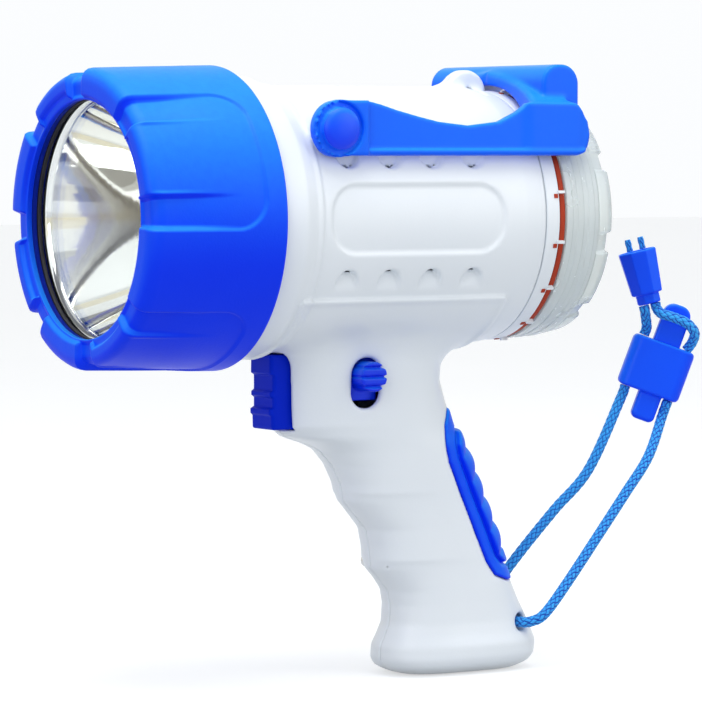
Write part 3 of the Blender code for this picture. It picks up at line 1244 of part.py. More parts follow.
def rear_parts():
    start = BARREL_REAR_X + GAP
    floor = start + BULKHEAD_THICK
    bore = SEAL_BORE
    profile = [(0, floor), (bore, floor), (bore, RING_REAR_X), (RING_RADIUS, RING_REAR_X), (RING_RADIUS, start),
               (0, start)]
    ring = turned("rear_ring", profile)
    teeth = []
    low = RING_RADIUS - TOOTH_THICK / 2
    for i in range(TEETH):
        tooth = box(f"tooth_{i}", (RING_REAR_X - SLACK * 2, RING_REAR_X + TOOTH_LENGTH),
                    (-TOOTH_HALF_WIDTH, TOOTH_HALF_WIDTH), (low, low + TOOTH_THICK), cutter=True)
        tooth.rotation_euler.x = 2 * math.pi * (i + HALF_SHARE) / TEETH
        teeth.append(tooth)
    joined(ring, teeth)
    socket_at = (0, 0, SOCKET_Z)
    lamp_at = (0, 0, LAMP_Z)
    cut(ring, [rod("socket_hole", SOCKET_RADIUS + GAP, start - OVERRUN, floor + OVERRUN, "X", socket_at, cutter=True),
               rod("lamp_hole", LAMP_RADIUS + GAP, start - OVERRUN, floor + OVERRUN, "X", lamp_at, 12, cutter=True)])
    paint(ring, WHITE_SHELL)
    seal = RING_REAR_X + GAP
    outer = low - GAP
    paint(turned("rear_seal", [(outer, seal), (outer, seal + SEAL_THICK), (bore, seal + SEAL_THICK), (bore, seal)],
                 ring=True), RED_SEAL)
    face = floor + GAP
    flange = face + BULKHEAD_THICK / 2
    profile = [(SOCKET_BORE, flange), (SOCKET_FLANGE_RADIUS, flange), (SOCKET_FLANGE_RADIUS, face),
               (SOCKET_RADIUS, face), (SOCKET_RADIUS, flange - SOCKET_LENGTH), (0, flange - SOCKET_LENGTH),
               (0, flange - SOCKET_LENGTH + SOCKET_BORE), (SOCKET_BORE, flange - SOCKET_LENGTH + SOCKET_BORE)]
    paint(turned("charge_socket", profile, at=socket_at, steps=SMALL_STEPS), BLACK_PLASTIC)
    paint(rod("charge_lamp", LAMP_RADIUS, start - OVERRUN, floor + SLACK, "X", lamp_at, 12), LED_PHOSPHOR)
    rear_cap()


def rear_cap():
    start = RING_REAR_X + TOOTH_LENGTH + GAP
    step = (CAP_FLANGE_X - start) / (2 * CAP_RIBS)
    outside = []
    for i in range(CAP_RIBS):
        share = i / CAP_RIBS
        radius = CAP_FRONT_RADIUS + (CAP_WAIST_RADIUS - CAP_FRONT_RADIUS) * share
        outside += [(radius, start + step * 2 * i), (radius, start + step * (2 * i + 1)),
                    (radius - CAP_RIB_STEP, start + step * (2 * i + 1)),
                    (radius - CAP_RIB_STEP, start + step * (2 * i + 2))]
    outside += [(CAP_FLANGE_RADIUS, CAP_FLANGE_X + SLACK), (CAP_REAR_RADIUS, CAP_REAR_X)]
    dish = CAP_REAR_X - CAP_DISH_DEPTH
    rim = CAP_REAR_RADIUS - CAP_RIM_WIDTH
    outside += [(rim, CAP_REAR_X), (rim - CAP_DISH_SLOPE, dish), (0, dish)]
    inside = [(0, dish - CAP_WALL), (rim, dish - CAP_WALL), (CAP_FLANGE_RADIUS - CAP_WALL, CAP_FLANGE_X),
              (CAP_FRONT_RADIUS - CAP_WALL - CAP_RIB_STEP, start)]
    cap = turned("rear_cap", outside + inside)
    notches = []
    for i in range(CAP_NOTCHES):
        notch = box(f"cap_notch_{i}", (CAP_REAR_X - CAP_NOTCH_DEPTH, CAP_REAR_X + OVERRUN),
                    (-CAP_NOTCH_HALF_WIDTH, CAP_NOTCH_HALF_WIDTH),
                    (CAP_REAR_RADIUS - SLACK, CAP_FRONT_RADIUS + OVERRUN), cutter=True)
        notch.rotation_euler.x = 2 * math.pi * (i + CAP_NOTCH_TURN_SHARE) / CAP_NOTCHES
        notches.append(notch)
    cut(cap, notches)
    paint(cap, CLEAR_CAP)


def screws():
    for i, (x, z) in enumerate(on_grip(SCREW_SHARES)):
        head = SCREW_HEAD_Y + GAP
        top = head + SCREW_HEAD_THICK
        profile = [(0, top), (SCREW_HEAD_RADIUS, top), (SCREW_HEAD_RADIUS, head), (SCREW_SHANK_RADIUS, head),
                   (SCREW_SHANK_RADIUS, SCREW_TIP_Y), (0, SCREW_TIP_Y)]
        paint(turned(f"housing_screw_{i + 1}", profile, "Y", (x, 0, z), SCREW_STEPS), STEEL_PLATED)


def lock_frame():
    """Matrix of the cord lock: x across, y thick, z up."""
    return (Matrix.Translation(LOCK_MIDDLE) @ Matrix.Rotation(LOCK_TURN, 4, "Z")
            @ Matrix.Rotation(LOCK_TILT, 4, "Y"))


def in_lock(ob):
    ob.data.transform(lock_frame())
    return ob


def cord_lock():
    half = LOCK_HALF_THICK
    outline = stadium((0, 0), LOCK_HALF_WIDTH, LOCK_HALF_HEIGHT, LOCK_ROUND, 3)
    body = in_lock(plate("cord_lock_body", outline, "Y", -half, half))
    low = -LOCK_HALF_HEIGHT
    tongue_outline = [(TONGUE_LEFT, low + OVERRUN), (TONGUE_LEFT, low - TONGUE_DROP + LOCK_ROUND),
                      (TONGUE_LEFT + LOCK_ROUND, low - TONGUE_DROP), (TONGUE_RIGHT - LOCK_ROUND, low - TONGUE_DROP),
                      (TONGUE_RIGHT, low - TONGUE_DROP + LOCK_ROUND), (TONGUE_RIGHT, low + OVERRUN)]
    thin = TONGUE_HALF_THICK
    tongue = in_lock(plate("lock_tongue", tongue_outline, "Y", -thin, thin, cutter=True))
    pocket_w = PLUNGER_HALF_WIDTH + GAP
    middle = PLUNGER_MIDDLE
    pocket_t = PLUNGER_HALF_THICK + GAP
    pocket = in_lock(box("lock_pocket", (middle - pocket_w, middle + pocket_w), (-pocket_t, pocket_t),
                         (POCKET_BOTTOM, LOCK_HALF_HEIGHT + OVERRUN), cutter=True))
    joined(body, [tongue])
    cut(body, [pocket])
    soften(body, SLACK, 60)
    paint(body, BLUE_LOCK)
    left = middle - PLUNGER_HALF_WIDTH
    right = middle + PLUNGER_HALF_WIDTH
    corner = PLUNGER_HALF_WIDTH * PLUNGER_CORNER_SHARE
    plunger_outline = [(left, PLUNGER_BOTTOM)]
    plunger_outline += arc((left + corner, PLUNGER_TOP - corner), corner, 180, 90, 4)
    plunger_outline += arc((right - corner, PLUNGER_TOP - corner), corner, 90, 0, 4)
    plunger_outline += [(right, PLUNGER_BOTTOM)]
    thin = PLUNGER_HALF_THICK
    plunger = in_lock(plate("cord_lock_plunger", plunger_outline, "Y", -thin, thin))
    paint(plunger, BLUE_LOCK)
    bottom = POCKET_BOTTOM + GAP
    start = lock_frame() @ Vector((middle, 0, bottom))
    up = lock_frame().to_3x3() @ Vector((0, 0, 1))
    length = PLUNGER_BOTTOM - GAP - bottom
    spring = coil("cord_lock_spring", start, up, length, LOCK_SPRING_RADIUS, LOCK_SPRING_WIRE, LOCK_SPRING_TURNS)
    paint(spring, STEEL_PLATED)


def cord_parts():
    frame = lock_frame()
    up = frame.to_3x3() @ Vector((0, 0, 1))
    foot = -LOCK_HALF_HEIGHT - GAP
    for name, route, side in (("cord_near", CORD_NEAR_ROUTE, 1), ("cord_far", CORD_FAR_ROUTE, -1)):
        end = frame @ Vector((side * CHANNEL_OFFSET, 0, foot))
        points = smooth_route(list(route) + [end - up * CORD_LEAD], CORD_STEP) + [end]
        paint(tube(name, points, CORD_RADIUS), BLUE_CORD)
    mouth = Vector(BELL_MOUTH)
    axis = Vector(BELL_AXIS).normalized()
    thick = Vector((0, 1, 0))
    across = thick.cross(axis)
    top = LOCK_HALF_HEIGHT + GAP
    for name, side, route in (("cord_link_left", -1, LINK_LEFT_ROUTE), ("cord_link_right", 1, LINK_RIGHT_ROUTE)):
        start = Vector((side * CHANNEL_OFFSET, 0, top))
        end = mouth - axis * GAP + across * side * (CORD_RADIUS + GAP)
        points = smooth_route([start] + list(route) + [end - axis * CORD_RADIUS], LINK_STEP) + [end]
        points.insert(1, start + Vector((0, 0, SLACK)))
        paint(tube(name, [frame @ p for p in points], CORD_RADIUS), BLUE_CORD)
    rings = []
    for along, half in ((0, BELL_COLLAR_HALF), (BELL_COLLAR_LENGTH, BELL_COLLAR_HALF),
                        (BELL_COLLAR_LENGTH, BELL_MOUTH_HALF), (BELL_LENGTH, BELL_TIP_HALF)):
        ring = []
        for i in range(BELL_SIDES):
            a = 2 * math.pi * (i + HALF_SHARE) / BELL_SIDES
            ring.append(frame @ (mouth + axis * along + (across * math.cos(a) + thick * math.sin(a)) * half))
        rings.append(ring)
    paint(loft("cord_bell", rings), BLUE_LOCK)
    for name, side in (("cord_tail_left", -1), ("cord_tail_right", 1)):
        start = mouth + axis * (BELL_LENGTH + GAP) + across * side * TAIL_OFFSET
        points = [frame @ (start + axis * TAIL_LENGTH * share) for share in (0, HALF_SHARE, 1)]
        paint(tube(name, points, TAIL_RADIUS), BLUE_CORD)


housing_halves()
bezel()
bowl_rear = head_parts()
sink_rear = light_engine(bowl_rear)
electronics()
cell_tab, cell_up = cells()
wires(sink_rear, cell_tab, cell_up)
trigger_parts()
lock_slide()
backstrap()
handle()
rear_parts()
screws()
cord_lock()
cord_parts()
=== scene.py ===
import math
import bmesh
import bpy
import numpy as np
from mathutils import Matrix, Vector


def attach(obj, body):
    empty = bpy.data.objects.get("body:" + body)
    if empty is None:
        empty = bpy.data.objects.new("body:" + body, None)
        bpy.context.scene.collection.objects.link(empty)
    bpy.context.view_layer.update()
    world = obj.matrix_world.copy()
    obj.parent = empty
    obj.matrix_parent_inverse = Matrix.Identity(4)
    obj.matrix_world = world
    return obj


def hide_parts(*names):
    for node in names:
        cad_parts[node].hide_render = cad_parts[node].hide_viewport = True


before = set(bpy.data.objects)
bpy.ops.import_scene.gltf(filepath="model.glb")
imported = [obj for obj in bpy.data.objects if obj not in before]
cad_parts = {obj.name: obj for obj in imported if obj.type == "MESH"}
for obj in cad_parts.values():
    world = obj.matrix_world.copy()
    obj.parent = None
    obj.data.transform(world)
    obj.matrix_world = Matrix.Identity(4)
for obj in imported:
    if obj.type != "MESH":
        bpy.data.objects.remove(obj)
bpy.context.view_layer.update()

# Sizes in metres. x runs back from the bezel's rear edge, z up from the beam axis.
AXIS_PLACE = np.array((-0.1080, 0.0, 0.1770))
GAP = 0.0003
SEAM_GAP = 0.0001

# Roundings, from the finest to the broadest
HAIR_EDGE = 0.0002
FINE_EDGE = 0.0003
THIN_EDGE = 0.0004
NEAT_EDGE = 0.0005
CRISP_EDGE = 0.0006
SOFT_EDGE = 0.0008
FULL_EDGE = 0.0010
WIDE_EDGE = 0.0012
BROAD_EDGE = 0.0018

# Barrel, its flare, side skin and panel
BARREL_RADIUS = 0.0500
SPIGOT_RADIUS = 0.0490
SPIGOT_FRONT_X = -0.0140
SPIGOT_REAR_X = 0.0100
WALL = 0.0028
FLARE_RADIUS = 0.0538
FLARE_END_X = 0.0110
FLARE_TAPER = 0.0004
RIDGE_RADIUS = 0.0512
RIDGE_X = 0.0185
RIDGE_RISE = 0.0020
RIDGE_FALL = 0.0016
BARREL_WAIST_X = 0.1100
BARREL_REAR_X = 0.1195
BARREL_REAR_RADIUS = 0.0488
LEDGE_Z = -0.0292
LEDGE_X = (0.0135, 0.1075)
LEDGE_STEP = 0.0010
LEDGE_BEAD = 0.0007
LEDGE_BEAD_DROP = 0.0017
LEDGE_BEAD_WIDTH = 0.0013
LEDGE_CORNER = 0.0025
PANEL_X = (0.0235, 0.1000)
PANEL_HALF_HEIGHT = 0.0127
PANEL_CORNER = 0.0110
PANEL_DEPTH = 0.0011
MARK_EDGE = 0.0011
PANEL_EDGE_SHARE = 1.6
SCALLOP_START_X = 0.0330
SCALLOP_PITCH = 0.0184
SCALLOP_COUNT = 4
SCALLOP_Z = 0.0235
SCALLOP_RADIUS = 0.0047
SCALLOP_FLOOR_Y = 0.0426

# Cord ear
EAR_AT = (0.1137, 0.0480)
EAR_RADIUS = 0.0085
EAR_HALF_THICKNESS = 0.0034
EAR_HOLE_RADIUS = 0.0017
EAR_DISH_RADIUS = 0.0046
EAR_DISH_DEPTH = 0.0009
EAR_FOOT_LENGTH = 0.0152
EAR_FILLET = 0.0030
EAR_FOOT_Z = (0.0400, 0.0460)
EAR_BACK_X = 0.1188
EAR_BACK_Z = 0.0497
EAR_BACK_SHARES = (0.85, 0.5)
EAR_FRONT_SHARE = 0.7

# Grip
AXIS_HEIGHT = 0.1770
GRIP_LENGTH = 0.1270
GRIP_FRONT_X = 0.0285
GRIP_REACH = 0.1150
GRIP_HALF_WIDTH = 0.0215
GRIP_SQUARENESS = 2.8
GRIP_MIDDLE_GUARD = 1e-4
GRIP_TOP_Z = -0.0370
GRIP_FILLET = 0.0080
GRIP_SMOOTHING = 0.0030
GRIP_FLOOR = 0.0040
FINGER_DIP = 0.0010
FINGER_DIP_SHARES = (0.227, 0.438, 0.648)
FINGER_DIP_WIDTH_SHARE = 0.034
FINGER_DIP_REACH = 0.0450
FINGER_DIP_SEAM = 0.0120
BASE_CHAMFER = 0.0030
CAVITY_TOP_Z = -0.0400
CAVITY_REAR_INSET = 0.0012

# Pivots, trigger and slide knob
PIVOT_AT = (0.0264, 0.0334)
PIVOT_BOSS_RADIUS = 0.0075
PIVOT_BOSS_INNER_Y = 0.0300
PIVOT_BOSS_FILLET = 0.0015
PIN_HOLE_RADIUS = 0.0028
PIN_INNER_Y = 0.0370
TRIGGER_X = (0.0218, 0.0400)
TRIGGER_Z = (-0.0800, -0.0516)
TRIGGER_HALF_WIDTH = 0.0078
TRIGGER_CORNER = 0.0012
TRIGGER_RUN_ON = 0.0200
TRIGGER_RIB_SCALE = 0.0013
SLOT_X = 0.0570
SLOT_Z = (-0.0722, -0.0530)
SLOT_HALF_WIDTH = 0.0062
SLOT_DISH = 0.0018
SLOT_ROUND_SHARE = 0.98
SLIDE_PLATE_Y = -0.0142
SLIDE_PLATE_THICK = 0.0013
SLIDE_PLATE_HALF = (0.0068, 0.0094)
KNOB_RADIUS = 0.0057
KNOB_Z = -0.0600
KNOB_FACE_Y = -0.0257
KNOB_RIDGE_PITCH = 0.0036
KNOB_RIDGE_DEPTH = 0.0015
KNOB_RIDGE_GAIN = 1.4
KNOB_RIM_DIP = 0.0005
KNOB_ROUND = 0.0009

# Cord eyelet, screws and board rails
EYELET_AT = (0.1325, -0.1590)
EYELET_RADIUS = 0.0034
EYELET_BOSS_RADIUS = 0.0054
EYELET_ROUND = 0.0022
SCREW_SHARES = ((0.539, 0.055), (0.322, 0.461), (0.404, 0.657), (0.761, 0.941), (0.522, 0.941))
SCREW_SHANK_RADIUS = 0.0012
SCREW_HEAD_RADIUS = 0.0026
SCREW_BOSS_RADIUS = 0.0033
SCREW_HEAD_Y = 0.0070
SCREW_TIP_Y = -0.0080
RAIL_X = (0.0520, 0.1000)
RAIL_Y = (0.0390, 0.0475)
RAIL_THICK = 0.0016
BOARD_Z = (-0.0050, -0.0034)

# Backstrap
STRAP_DEPTH = 0.0012
STRAP_PROUD = 0.0008
STRAP_PAD_PROUD = 0.0026
STRAP_RIDGES = 5
STRAP_RIDGE_DEPTH = 0.0020
STRAP_FOOT_SHARE = 0.88
STRAP_FOOT_RISE = 0.6
STRAP_FOOT_GAIN = 20
STRAP_RIDGE_REACH = 0.0110
STRAP_RIDGE_SLANT = 0.5
STRAP_GROOVE_OUT = 0.0006
STRAP_GROOVE_WIDTH = 0.0008
STRAP_GROOVE = 0.0009
# Depth down the grip, how far back its front and rear lie there, and its width
GRIP_SHARES = (
    (-0.102, 0.004, 0.674, 1.000), (-0.024, 0.002, 0.674, 0.991), (0.016, 0.000, 0.630, 0.967),
    (0.055, 0.000, 0.609, 0.949), (0.102, 0.000, 0.606, 0.930), (0.165, 0.000, 0.629, 0.912),
    (0.236, 0.004, 0.658, 0.898), (0.264, 0.039, 0.672, 0.888), (0.285, 0.117, 0.684, 0.879),
    (0.307, 0.170, 0.696, 0.870), (0.354, 0.218, 0.722, 0.851), (0.409, 0.249, 0.747, 0.828),
    (0.465, 0.262, 0.775, 0.809), (0.504, 0.302, 0.793, 0.795), (0.551, 0.349, 0.816, 0.781),
    (0.606, 0.363, 0.842, 0.772), (0.673, 0.368, 0.874, 0.767), (0.709, 0.406, 0.891, 0.767),
    (0.744, 0.436, 0.909, 0.767), (0.787, 0.447, 0.931, 0.767), (0.846, 0.443, 0.967, 0.781),
    (0.882, 0.426, 0.985, 0.819), (0.913, 0.410, 0.999, 0.884), (0.953, 0.406, 0.994, 0.893),
    (0.980, 0.420, 0.974, 0.847), (1.000, 0.452, 0.942, 0.744),
)
STRAP_OUTLINE_SHARES = (
    (0.813, 0.157), (0.609, 0.193), (0.583, 0.236), (0.577, 0.299), (0.589, 0.350), (0.750, 0.661),
    (0.787, 0.705), (0.848, 0.724), (1.022, 0.724), (1.022, 0.157),
)
STRAP_PAD_SHARES = (
    (0.830, 0.228), (0.648, 0.260), (0.632, 0.299), (0.639, 0.339), (0.800, 0.646), (0.830, 0.669),
    (1.039, 0.669), (1.039, 0.228),
)
# Height down the trigger, and how far in its face lies there
TRIGGER_RIB_SHARES = (
    (0.00, 0.1), (0.25, 0.0), (0.28, 1.0), (0.47, 1.0), (0.50, 0.1), (0.55, 0.1), (0.58, 1.0), (0.70, 1.0),
    (0.73, -0.2), (0.79, -0.2), (0.82, 0.5), (1.00, 0.6),
)

# Carry handle
ARM_INNER_Y = 0.0452
ARM_OUTER_Y = 0.0496
ARM_HEAD_RADIUS = 0.0104
ARM_BOTTOM_Z = 0.0235
ARM_FLANGE_HEIGHT = 0.0024
ARM_FLANGE_PROUD = 0.0012
ARM_BLOCK_X = 0.0390
ARM_BLOCK_PROUD = 0.0010
ARM_LENGTH = 0.1136
ARM_END_X = 0.1400
ARM_END_TOP_Z = 0.0430
ARM_HEIGHT = 0.0203
ARM_TOP_SHARES = (
    (0.129, 0.980), (0.164, 0.936), (0.235, 0.823), (0.315, 0.714), (0.393, 0.621), (0.511, 0.552),
    (0.631, 0.626), (0.701, 0.803), (0.745, 0.961),
)
ARM_END_SHARES = ((0.385, 0.974), (0.195, 0.846), (0.051, 0.667), (0.0, 0.395), (0.051, 0.169), (0.154, 0.062),
                  (0.308, 0.0))
ARM_BLEND = 0.0040
ARM_START_RISE = 0.0005
BAR_X = (0.1243, 0.1410)
BAR_TOP_Z = 0.0583
BAR_BOTTOM_Z = 0.0380
BAR_CORNER = 0.0075
BAR_HALF_LENGTH = 0.0394
BAR_BLEND = 0.0016
BAR_END_ROUND = 0.0014
WEB_FRONT_X = 0.1040
WEB_TOP_Z = 0.0560
WEB_BOTTOM_Z = 0.0370
WEB_ARCH_SHARES = ((0.207, 0.885), (0.517, 0.631), (0.744, 0.354), (0.95, 0.0))
WEB_REAR_SETBACK = 0.0065
WEB_INSET = 0.0006
WEB_RUN_DOWN = 0.0100
WEB_ROUND = 0.0020
WEB_MOUTH_ROUND = 0.0026
WEB_MOUTH_X = 0.0930
WEB_MOUTH_DEPTH = 0.0310
WEB_MOUTH_HALF_WIDTH = 0.0642
STAND_CLEARANCE_RADIUS = 0.0506
PIVOT_CAP_RADIUS = 0.0077
PIVOT_CAP_DOME = 0.0026
PIVOT_CAP_GROOVE = 0.0011
PIVOT_CAP_GROOVE_DEPTH = 0.0004
# How far out, share of the radius and rounding
PIVOT_CAP_PROFILE = ((0.0, 1.0, 0.0003), (0.0006, 1.0, 0.0006), (0.0018, 0.80, 0.0030), (0.0025, 0.4, 0.0030))
PIVOT_CAP_STEPS = 96

# Head
HEAD_RING_RADIUS = 0.0530
HEAD_FRONT_X = -0.0516
HEAD_REAR_X = -0.0006
HEAD_LIP = 0.0020
HEAD_SHOULDER = 0.0050
HEAD_SEAT = 0.0130
HEAD_NOSE_RADIUS = 0.0484
HEAD_LIP_RADIUS = 0.0445
HEAD_SEAT_RADIUS = 0.0475
HEAD_REAR_BORE = 0.0493
LENS_RADIUS = 0.0472
LENS_THICK = 0.0026
GASKET_BORE = 0.0441
GASKET_THICK = 0.0015
BOWL_DEPTH = 0.0620
BOWL_THROAT = 0.0065
BOWL_RIM = 0.0440
BOWL_WALL = 0.0014
BOWL_STEPS = 48

# Bezel
BEZEL_BORE = HEAD_RING_RADIUS + GAP
BEZEL_REAR_RADIUS = 0.0572
BEZEL_NOSE_X = -0.0558
BEZEL_NOTCH_X = -0.0534
BEZEL_MOUTH_X = -0.0541
BEZEL_MOUTH_RADIUS = 0.0440
BEZEL_LIP_X = -0.0519
BEZEL_LIP_RADIUS = 0.0487
BEZEL_SHOULDER_X = -0.0463
BEZEL_LUG_RADIUS = 0.0458
BEZEL_PAD_LUG_RADIUS = 0.0482
BEZEL_LUG_SLOPE = 0.0010
BEZEL_PANEL_DEPTH = 0.0008
BEZEL_GROOVE_DEPTH = 0.0011
BEZEL_PANEL_REAR_X = -0.0085
BEZEL_PANEL_CORNER = 0.0120
BEZEL_GROOVE_EDGE = 0.0004
BEZEL_GROOVE_FADE_X = (-0.0446, -0.0160)
BEZEL_GROOVE_START = -3.0
BEZEL_GROOVE_SPAN = 13.5
BEZEL_PAD_SPAN = 30.0
BEZEL_STEP_ANGLE = 1.5
BEZEL_REPEAT = 90.0
BEZEL_BELLY = (-0.0300, 0.05648, 0.0030)
# Radius and rounding of the nose on each of the three outlines
BEZEL_LUG_NOSE = (0.0557, 0.0062)
BEZEL_PAD_NOSE = (0.0550, 0.0050)
BEZEL_NOTCH_NOSE = (0.0550, 0.0060)
BEZEL_MOUTH_ROUND = 0.0007
BEZEL_PANEL_FRONT_X = -0.0900
BEZEL_PANEL_RADIUS = 0.0565
BEZEL_SKIN_RADIUS = 0.0500
BEZEL_SKIN_BLEND = 0.0040

# Rear end
RING_RADIUS = 0.0486
RING_X = (0.1200, 0.1259)
RING_FLOOR_X = 0.1222
TEETH = 16
TOOTH_SIZE = (0.0030, 0.0018, 0.0010)
TOOTH_X = 0.1266
TOOTH_TURN = math.radians(11.25)
TAB_SIZE = (0.0016, 0.0014, 0.0016)
TAB_X = 0.1243
TAB_RADIUS = 0.0482
TAB_TURN = math.radians(13.0)
SEAL_X = (0.1265, 0.1289)
SEAL_RADIUS = 0.0479
SEAL_BORE = 0.0430
CAP_X = (0.1295, 0.1525)
CAP_RADIUS = 0.0484
CAP_WAIST_RADIUS = 0.0474
CAP_FLANGE_X = 0.1455
CAP_FLANGE_RADIUS = 0.0462
CAP_REAR_RADIUS = 0.0440
CAP_WALL = 0.0022
CAP_RIBS = 3
CAP_RIB_STEP = 0.0006
CAP_NOTCHES = 9
CAP_NOTCH_ANGLE = 8.5
CAP_NOTCH_TURN = -12.6
CAP_NOTCH_DEPTH = 0.0016
CAP_LUG_PROUD = 0.0009
CAP_NOTCH_PROUD = 0.0002
CAP_NOTCH_WALL = 1.2
CAP_RIB_SHARES = (1.12, 1.9)
CAP_DISH_DEPTH = 0.0040
CAP_DISH_INSET = 0.0060
CAP_RIM_WIDTH = 0.0040

# Wrist cord and cord lock
CORD_RADIUS = 0.0021
CORD_STEP = 0.0004
CORD_SIDES = 48
BRAID_STRANDS = 6
BRAID_PITCH = 0.0062
BRAID_RELIEF = 0.00030
CORD_LEAD = 0.0060
CORD_NEAR_ROUTE = (
    (0.1325, -0.0003, -0.1590), (0.1325, -0.0070, -0.1590), (0.1325, -0.0130, -0.1590),
    (0.1345, -0.0172, -0.1585), (0.1395, -0.0195, -0.1555), (0.1510, -0.0185, -0.1440),
    (0.1680, -0.0150, -0.1270), (0.1840, -0.0115, -0.1110), (0.1975, -0.0085, -0.0970),
)
CORD_FAR_ROUTE = (
    (0.1325, 0.0003, -0.1590), (0.1325, 0.0070, -0.1590), (0.1325, 0.0130, -0.1590),
    (0.1342, 0.0172, -0.1575), (0.1390, 0.0195, -0.1525), (0.1520, 0.0180, -0.1370),
    (0.1680, 0.0150, -0.1190), (0.1820, 0.0110, -0.1030),
)
LOCK_MIDDLE = (0.2073, 0.0000, -0.0622)
LOCK_TURN = math.radians(-32.0)
LOCK_TILT = math.radians(20.0)
LOCK_HALF_WIDTH = 0.0132
LOCK_HALF_HEIGHT = 0.0106
LOCK_HALF_THICK = 0.0056
LOCK_ROUND = 0.0024
LOCK_SIDE_ROUND = 0.0046
TONGUE_X = (-0.0034, 0.0062)
TONGUE_DROP = 0.0112
TONGUE_OVERLAP = 0.0060
TONGUE_HALF_THICK = 0.0040
CHANNEL_OFFSET = 0.0091
PLUNGER_MIDDLE = 0.0005
PLUNGER_HALF_WIDTH = 0.0056
PLUNGER_HALF_THICK = 0.0034
PLUNGER_Z = (0.0020, 0.0270)
PLUNGER_ROUND_SHARE = 0.8
POCKET_BOTTOM_Z = -0.0050
BELL_MOUTH = (-0.0118, -0.0045, 0.0235)
BELL_AXIS = (-0.556, 0, 0.831)
BELL_LENGTH = 0.0218
BELL_COLLAR_HALF = 0.0050
BELL_COLLAR_LENGTH = 0.0040
BELL_COLLAR_OVERLAP = 0.0020
BELL_HALF = (0.0066, 0.0081)
BELL_SIDES = 8
BELL_HOLLOW_DEPTH = 0.0035
BELL_WALL = 0.0012
LINK_LEFT_ROUTE = ((-0.0091, 0, 0.0140), (-0.0112, -0.0026, 0.0180))
LINK_RIGHT_ROUTE = ((0.0101, -0.0008, 0.0145), (0.0094, -0.0042, 0.0186), (0.0050, -0.0067, 0.0212),
                    (-0.0012, -0.0069, 0.0216), (-0.0060, -0.0060, 0.0214))
TAIL_RADIUS = 0.0013
TAIL_LENGTH = 0.0048
TAIL_OFFSET = 0.0026
TAIL_SIDES = 24
TAIL_STRANDS = 4

# Mesh fineness
HOUSING_CELL = 0.0009
STAND_CELL = 0.0008
STRAP_CELL = 0.0006
SMALL_CELL = 0.0004
TURN_STEPS = 192
BEZEL_STEPS = 640
BEZEL_PARTS = (1, 44, 22, 3, 3, 2, 2, 2, 3, 10)
CAP_STEPS = 480
ARC_STEPS = 5
ROUTE_STEPS = 24
GRIP_TABLE_STEPS = 600

# Boxes that hold the larger moulded pieces
SHELL_LOW = (-0.0140, -0.0555, -0.1770)
SHELL_HIGH = (0.1430, 0.0, 0.0570)
STAND_BOX = ((0.0150, -0.0510, 0.0230), (0.1420, 0.0510, 0.0590))
STRAP_BOX = ((0.0900, -0.0210, -0.1430), (0.1350, 0.0210, -0.0690))
KNOB_BOX = ((0.0490, KNOB_FACE_Y, -0.0700), (0.0650, SLIDE_PLATE_Y, -0.0500))
TRIGGER_MARGIN = 0.0005

# Patterns of the finishes: scale, and where each fades in and out
DRIFT_SCALE, DRIFT_RANGE = 14.0, (0.30, 0.72)
STREAK_SCALES, SCUFF_RANGE = (260.0, 260.0, 40.0), (0.62, 0.78)
SPECKLE_SCALE, SPECKLE_SPAN, SPECKLE_LOW = 320.0, 0.30, 0.85
PATCH_SCALE, PATCH_SPAN, PATCH_LOW = 60.0, 0.08, -0.04
# Normal heights over which the upward dust and painted sheen fade in
UP_FACING_RANGE = (-0.35, 1.0)
YARNS = 5
YARN_SHARE = 0.25
STRAND_DRIFT = 0.40
FIBRE_SHARE = 0.66
LIT_RANGE = (0.30, 0.95)

# Camera, floor and lights
CAMERA_TARGET = Vector((-0.0457, 0.0, 0.1248))
CAMERA_AZIMUTH = math.radians(-32.06)
CAMERA_ELEVATION = math.radians(3.0)
CAMERA_DISTANCE = 1.5
CAMERA_LENS = 199.5
SENSOR_HEIGHT = 36.0
FLOOR_HALF = 8.0
FLOOR_TONES = ((0.52, 0.53, 0.54, 1), (0.48, 0.49, 0.50, 1))
FLOOR_GLOW = 0.57
FLOOR_MIRRORED = 0.62
SKY_LOW = 0.36
SKY_RISE = 0.34
SKY_SEEN = 1.0
SKY_TINT = (0.97, 0.985, 1.0, 1)
SKY_RANGE = (-0.1, 0.9)
LOW_TINT = (0.86, 0.80, 0.64, 1)
LOW_RANGE = (0.16, 0.18)
# What mirrors see of the sky: its strength at the bottom, then each change with the heights it lies between
MIRRORED_BASE = 1.2
MIRRORED_STEPS = ((0.50, 0.53, -0.90), (0.80, 0.82, 0.55))
FLOOR_TINT = (0.98, 0.99, 1.0, 1)
FLOOR_DROP = 0.0004
LIGHT_AIM = (-0.03, 0, 0.12)
# Name, place, size and power
SOFTBOXES = (
    ("softbox_top", (-0.2, -0.3, 1.6), (1.1, 0.9), 15.0),
    ("softbox_left", (-1.5, -1.1, 0.9), (0.9, 1.3), 9.0),
    ("softbox_right", (1.1, -1.4, 0.7), (1.0, 1.2), 7.0),
    ("softbox_front", (-1.5, 0.1, 0.4), (1.2, 1.2), 1.4),
)


def camera():
    data = bpy.data.cameras.new("camera")
    data.lens = CAMERA_LENS
    data.sensor_fit = "VERTICAL"
    data.sensor_height = SENSOR_HEIGHT
    data.clip_start = 0.01
    ob = link(bpy.data.objects.new("camera", data))
    back = Vector((math.sin(CAMERA_AZIMUTH) * math.cos(CAMERA_ELEVATION),
                   -math.cos(CAMERA_AZIMUTH) * math.cos(CAMERA_ELEVATION), math.sin(CAMERA_ELEVATION)))
    ob.location = CAMERA_TARGET + back * CAMERA_DISTANCE
    ob.rotation_euler = back.to_track_quat("Z", "Y").to_euler()
    bpy.context.scene.camera = ob


